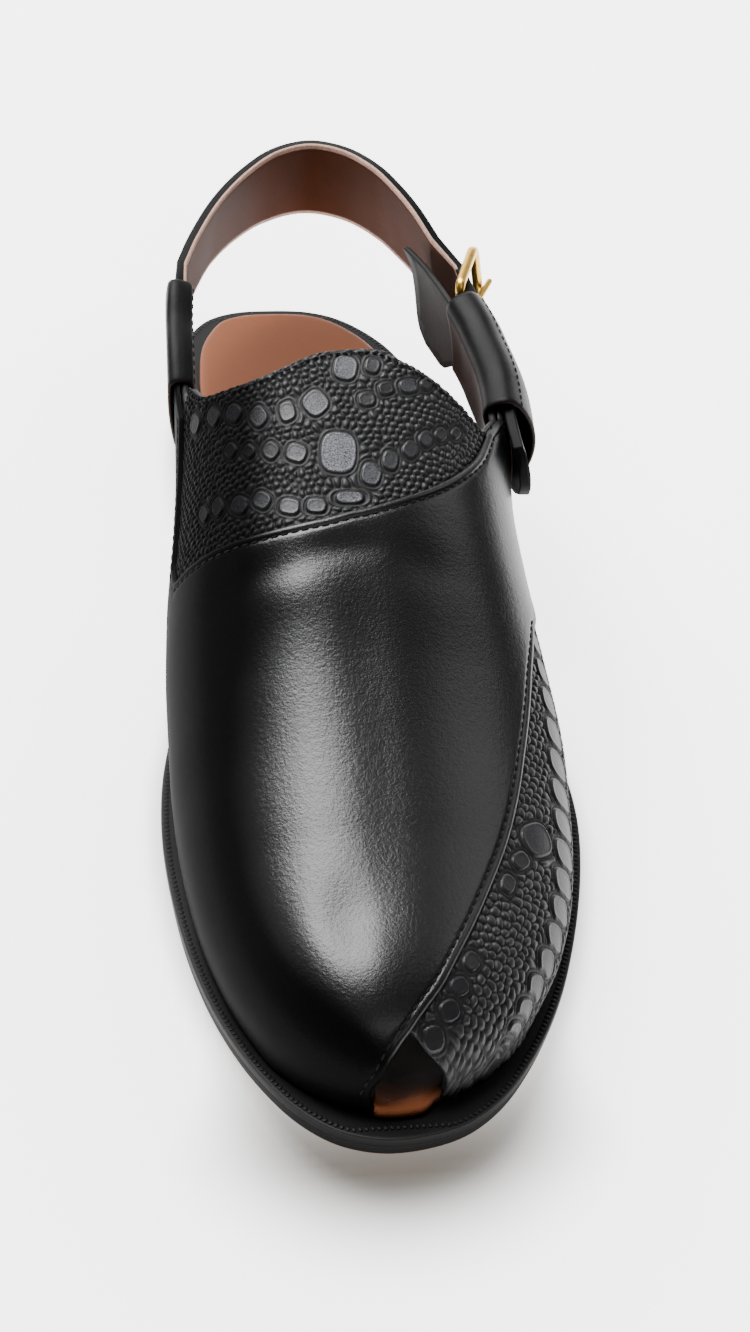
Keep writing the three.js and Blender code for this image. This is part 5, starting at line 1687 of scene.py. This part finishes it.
class CHAPPAL_OT_buckle(PieceOperator, bpy.types.Operator):
    """Bends the brass buckle frame and its prong"""

    bl_idname = "chappal.buckle"
    bl_label = "Buckle"

    def make(self, tone, size):
        metal = cached(brass, tone.brass)
        points, faces = rounded_frame()
        finish_piece(mesh_object("buckle_frame_brass", points, faces), metal, ["buckle_frame"])
        prong = loft_rows("buckle_prong_brass", prong_rows(), {})
        finish_piece(prong, metal, ["buckle_prong"])


class CHAPPAL_OT_stitches(PieceOperator, bpy.types.Operator):
    """Sews the folded edges of the vamp, the flap and the ears"""

    bl_idname = "chappal.stitches"
    bl_label = "Stitches"

    def make(self, tone, size):
        yarn = cached(thread, (0.008, 0.008, 0.0085))
        pitch, length = size.stitch_pitch / MM, size.stitch_length / MM
        runs = vamp_runs()
        for name, chosen in (("throat_stitches", VAMP_THROAT), ("side_stitches", VAMP_SIDE),
                             ("toe_stitches", TOE_MEDIAL[:4])):
            lines = edge_lines(runs, chosen, STITCH_DEPTH, STITCH_LIFT)
            finish_piece(set_in_rows(name, lines, yarn, pitch, length, *STITCH))
        ears = [medial_ear(MEDIAL_EAR_END)[1], VAMP_WING, lateral_ear(BUCKLE_BAR)[0]]
        lines = [line for chosen in ears for line in edge_lines(runs, chosen, STITCH_DEPTH, 0.02)]
        finish_piece(set_in_rows("ear_stitches", lines, yarn, pitch, length, *FINE_STITCH))
        rim = edge_lines(flap_runs(), COLLAR, COLLAR_DEPTH, SCALE_TOP - 0.05)
        finish_piece(set_in_rows("collar_stitches", rim, yarn, *COLLAR_STITCH))
        skin = LOOP_CLEARANCE + LOOP_LEATHER
        width = HALF_EAR - LOOP_STITCH_INSET
        swell = KEEPER_CROWN * (1 - (width / HALF_EAR) ** 2)
        lines = []
        for side, sign, span, lift in (
                ("lateral", -1, KEEPER_SPAN, CLEARANCE + STRAP_LEATHER + skin + swell),
                ("medial", 1, MEDIAL_LOOP, WALL_INNER - skin)):
            share = np.linspace(span[0] + LOOP_STITCH_END, span[1] - LOOP_STITCH_END, LOOP_STITCH_POINTS)
            line = ear_point(side, share, width, np.full(len(share), lift))
            out = normal_at(across_ear(side, share, sign * width), share) * -sign
            lines.append((line, out, False))
        finish_piece(set_in_rows("loop_stitches", lines, yarn, pitch, length, *FINE_STITCH))


def contact_shade(points):
    """How dark the painted shadow on the floor is under and close round the sole: widest in front of the toe.
    """
    y = mix(HEEL_SEAT, along(1.0), (1 - np.cos(np.linspace(0, math.pi, 160))) / 2)
    flat = np.vstack([edge_point("medial", y, SOLE_TUCK), edge_point("lateral", y, SOLE_TUCK)[::-1]])
    outline = np.column_stack([flat, np.zeros(len(flat))])
    away = distance_from(outline, points)
    away = np.where(inside(flat, points[:, :2]), 0, away)
    front = ease(-points[:, 1], -along(0.86), -along(1.0))
    close = mix(*CLOSE_DARK, front) * np.exp(-(away / mix(*CLOSE_REACH, front)) ** 2)
    return np.maximum(close, WIDE_DARK * np.exp(-(away / WIDE_REACH) ** 2))


class CHAPPAL_OT_stage(PieceOperator, bpy.types.Operator):
    """Sets the pale floor, the soft lights and the camera"""

    bl_idname = "chappal.stage"
    bl_label = "Studio"

    def make(self, tone, size):
        self.floor(tone)
        self.lights()
        self.camera(size)

    def floor(self, tone):
        """A floor that curves up into a backdrop far behind."""
        half, back, bend = 6.0, 5.0, 0.9
        across = [-half, -1, -0.3, *np.linspace(-0.12, 0.12, 97), 0.3, 1, half]
        profile = [(-half, 0.0), (-1.0, 0.0), (-0.5, 0.0)]
        profile += [(y, 0.0) for y in np.linspace(-0.34, 0.08, 141)]
        profile += [(0.4, 0.0), (back - bend, 0.0)]
        profile += [(back - bend + bend * math.sin(a), bend - bend * math.cos(a))
                    for a in np.linspace(0, math.pi / 2, 13)[1:]]
        profile += [(back, 3.4)]
        points = np.array([(x, y, z) for y, z in profile for x in across]) / MM
        wide = len(across)
        faces = [(i * wide + j, i * wide + j + 1, (i + 1) * wide + j + 1, (i + 1) * wide + j)
                 for i in range(len(profile) - 1) for j in range(wide - 1)]
        floor = mesh_object("studio_floor", points, [np.array(faces)], {"shade": contact_shade(points)})
        floor.data.materials.append(cached(floor_paint, tone.floor))

    def lights(self):
        world = bpy.data.worlds.new("studio")
        world.use_nodes = True
        background = world.node_tree.nodes["Background"]
        background.inputs["Color"].default_value = (0.93, 0.95, 1.0, 1)
        background.inputs["Strength"].default_value = 0.12
        bpy.context.scene.world = world
        for name, place, target, wide, high, power in SOFTBOXES:
            light = bpy.data.lights.new(name, "AREA")
            light.shape = "RECTANGLE"
            light.size, light.size_y, light.energy = wide, high, power
            lamp = linked(name, light)
            lamp.location = place
            lamp.rotation_mode = "QUATERNION"
            lamp.rotation_quaternion = (Vector(target) - Vector(place)).to_track_quat("-Z", "Y")

    def camera(self, size):
        """The fitted camera, turned about its place until it frames this one shoe."""
        right, up, forward = (Vector(v) for v in (CAMERA_RIGHT, CAMERA_UP, CAMERA_FORWARD))
        across = (SHOE_CENTRE[0] - PHOTO_CENTRE[0]) / PHOTO_LENS_PIXELS
        down = (SHOE_CENTRE[1] - PHOTO_CENTRE[1]) / PHOTO_LENS_PIXELS
        aim = (forward + right * across - up * down).normalized()
        turn = forward.rotation_difference(aim)
        right, up = turn @ right, turn @ up
        data = bpy.data.cameras.new("camera")
        data.lens, data.sensor_width = size.lens, 36.0
        camera = linked("camera", data)
        basis = Matrix((right, up, -aim)).transposed().to_4x4()
        camera.matrix_world = Matrix.Translation(Vector(CAMERA_PLACE) * MM) @ basis
        bpy.context.scene.camera = camera


class CHAPPAL_PT_panel(bpy.types.Panel):
    """Lists the shoe's pieces and its settings"""

    bl_idname = "CHAPPAL_PT_panel"
    bl_label = "Peshawari chappal"
    bl_space_type = "VIEW_3D"
    bl_region_type = "UI"
    bl_category = "Chappal"

    def draw(self, context):
        for operator in OPERATORS:
            self.layout.operator(operator.bl_idname)
        for group in (context.scene.chappal_colours, context.scene.chappal_sizes):
            for name in group.__annotations__:
                self.layout.prop(group, name)


OPERATORS = (
    CHAPPAL_OT_vamp, CHAPPAL_OT_upper, CHAPPAL_OT_flap, CHAPPAL_OT_panel, CHAPPAL_OT_insole, CHAPPAL_OT_sole,
    CHAPPAL_OT_strap, CHAPPAL_OT_buckle, CHAPPAL_OT_stitches, CHAPPAL_OT_stage,
)
CLASSES = (ChappalColours, ChappalSizes, *OPERATORS, CHAPPAL_PT_panel)


def register():
    for cls in CLASSES:
        bpy.utils.register_class(cls)
    bpy.types.Scene.chappal_colours = bpy.props.PointerProperty(type=ChappalColours)
    bpy.types.Scene.chappal_sizes = bpy.props.PointerProperty(type=ChappalSizes)


def unregister():
    del bpy.types.Scene.chappal_sizes
    del bpy.types.Scene.chappal_colours
    for cls in reversed(CLASSES):
        bpy.utils.unregister_class(cls)


def main():
    register()
    for operator in OPERATORS:
        category, name = operator.bl_idname.split(".")
        getattr(getattr(bpy.ops, category), name)()


if __name__ == "__main__":
    main()
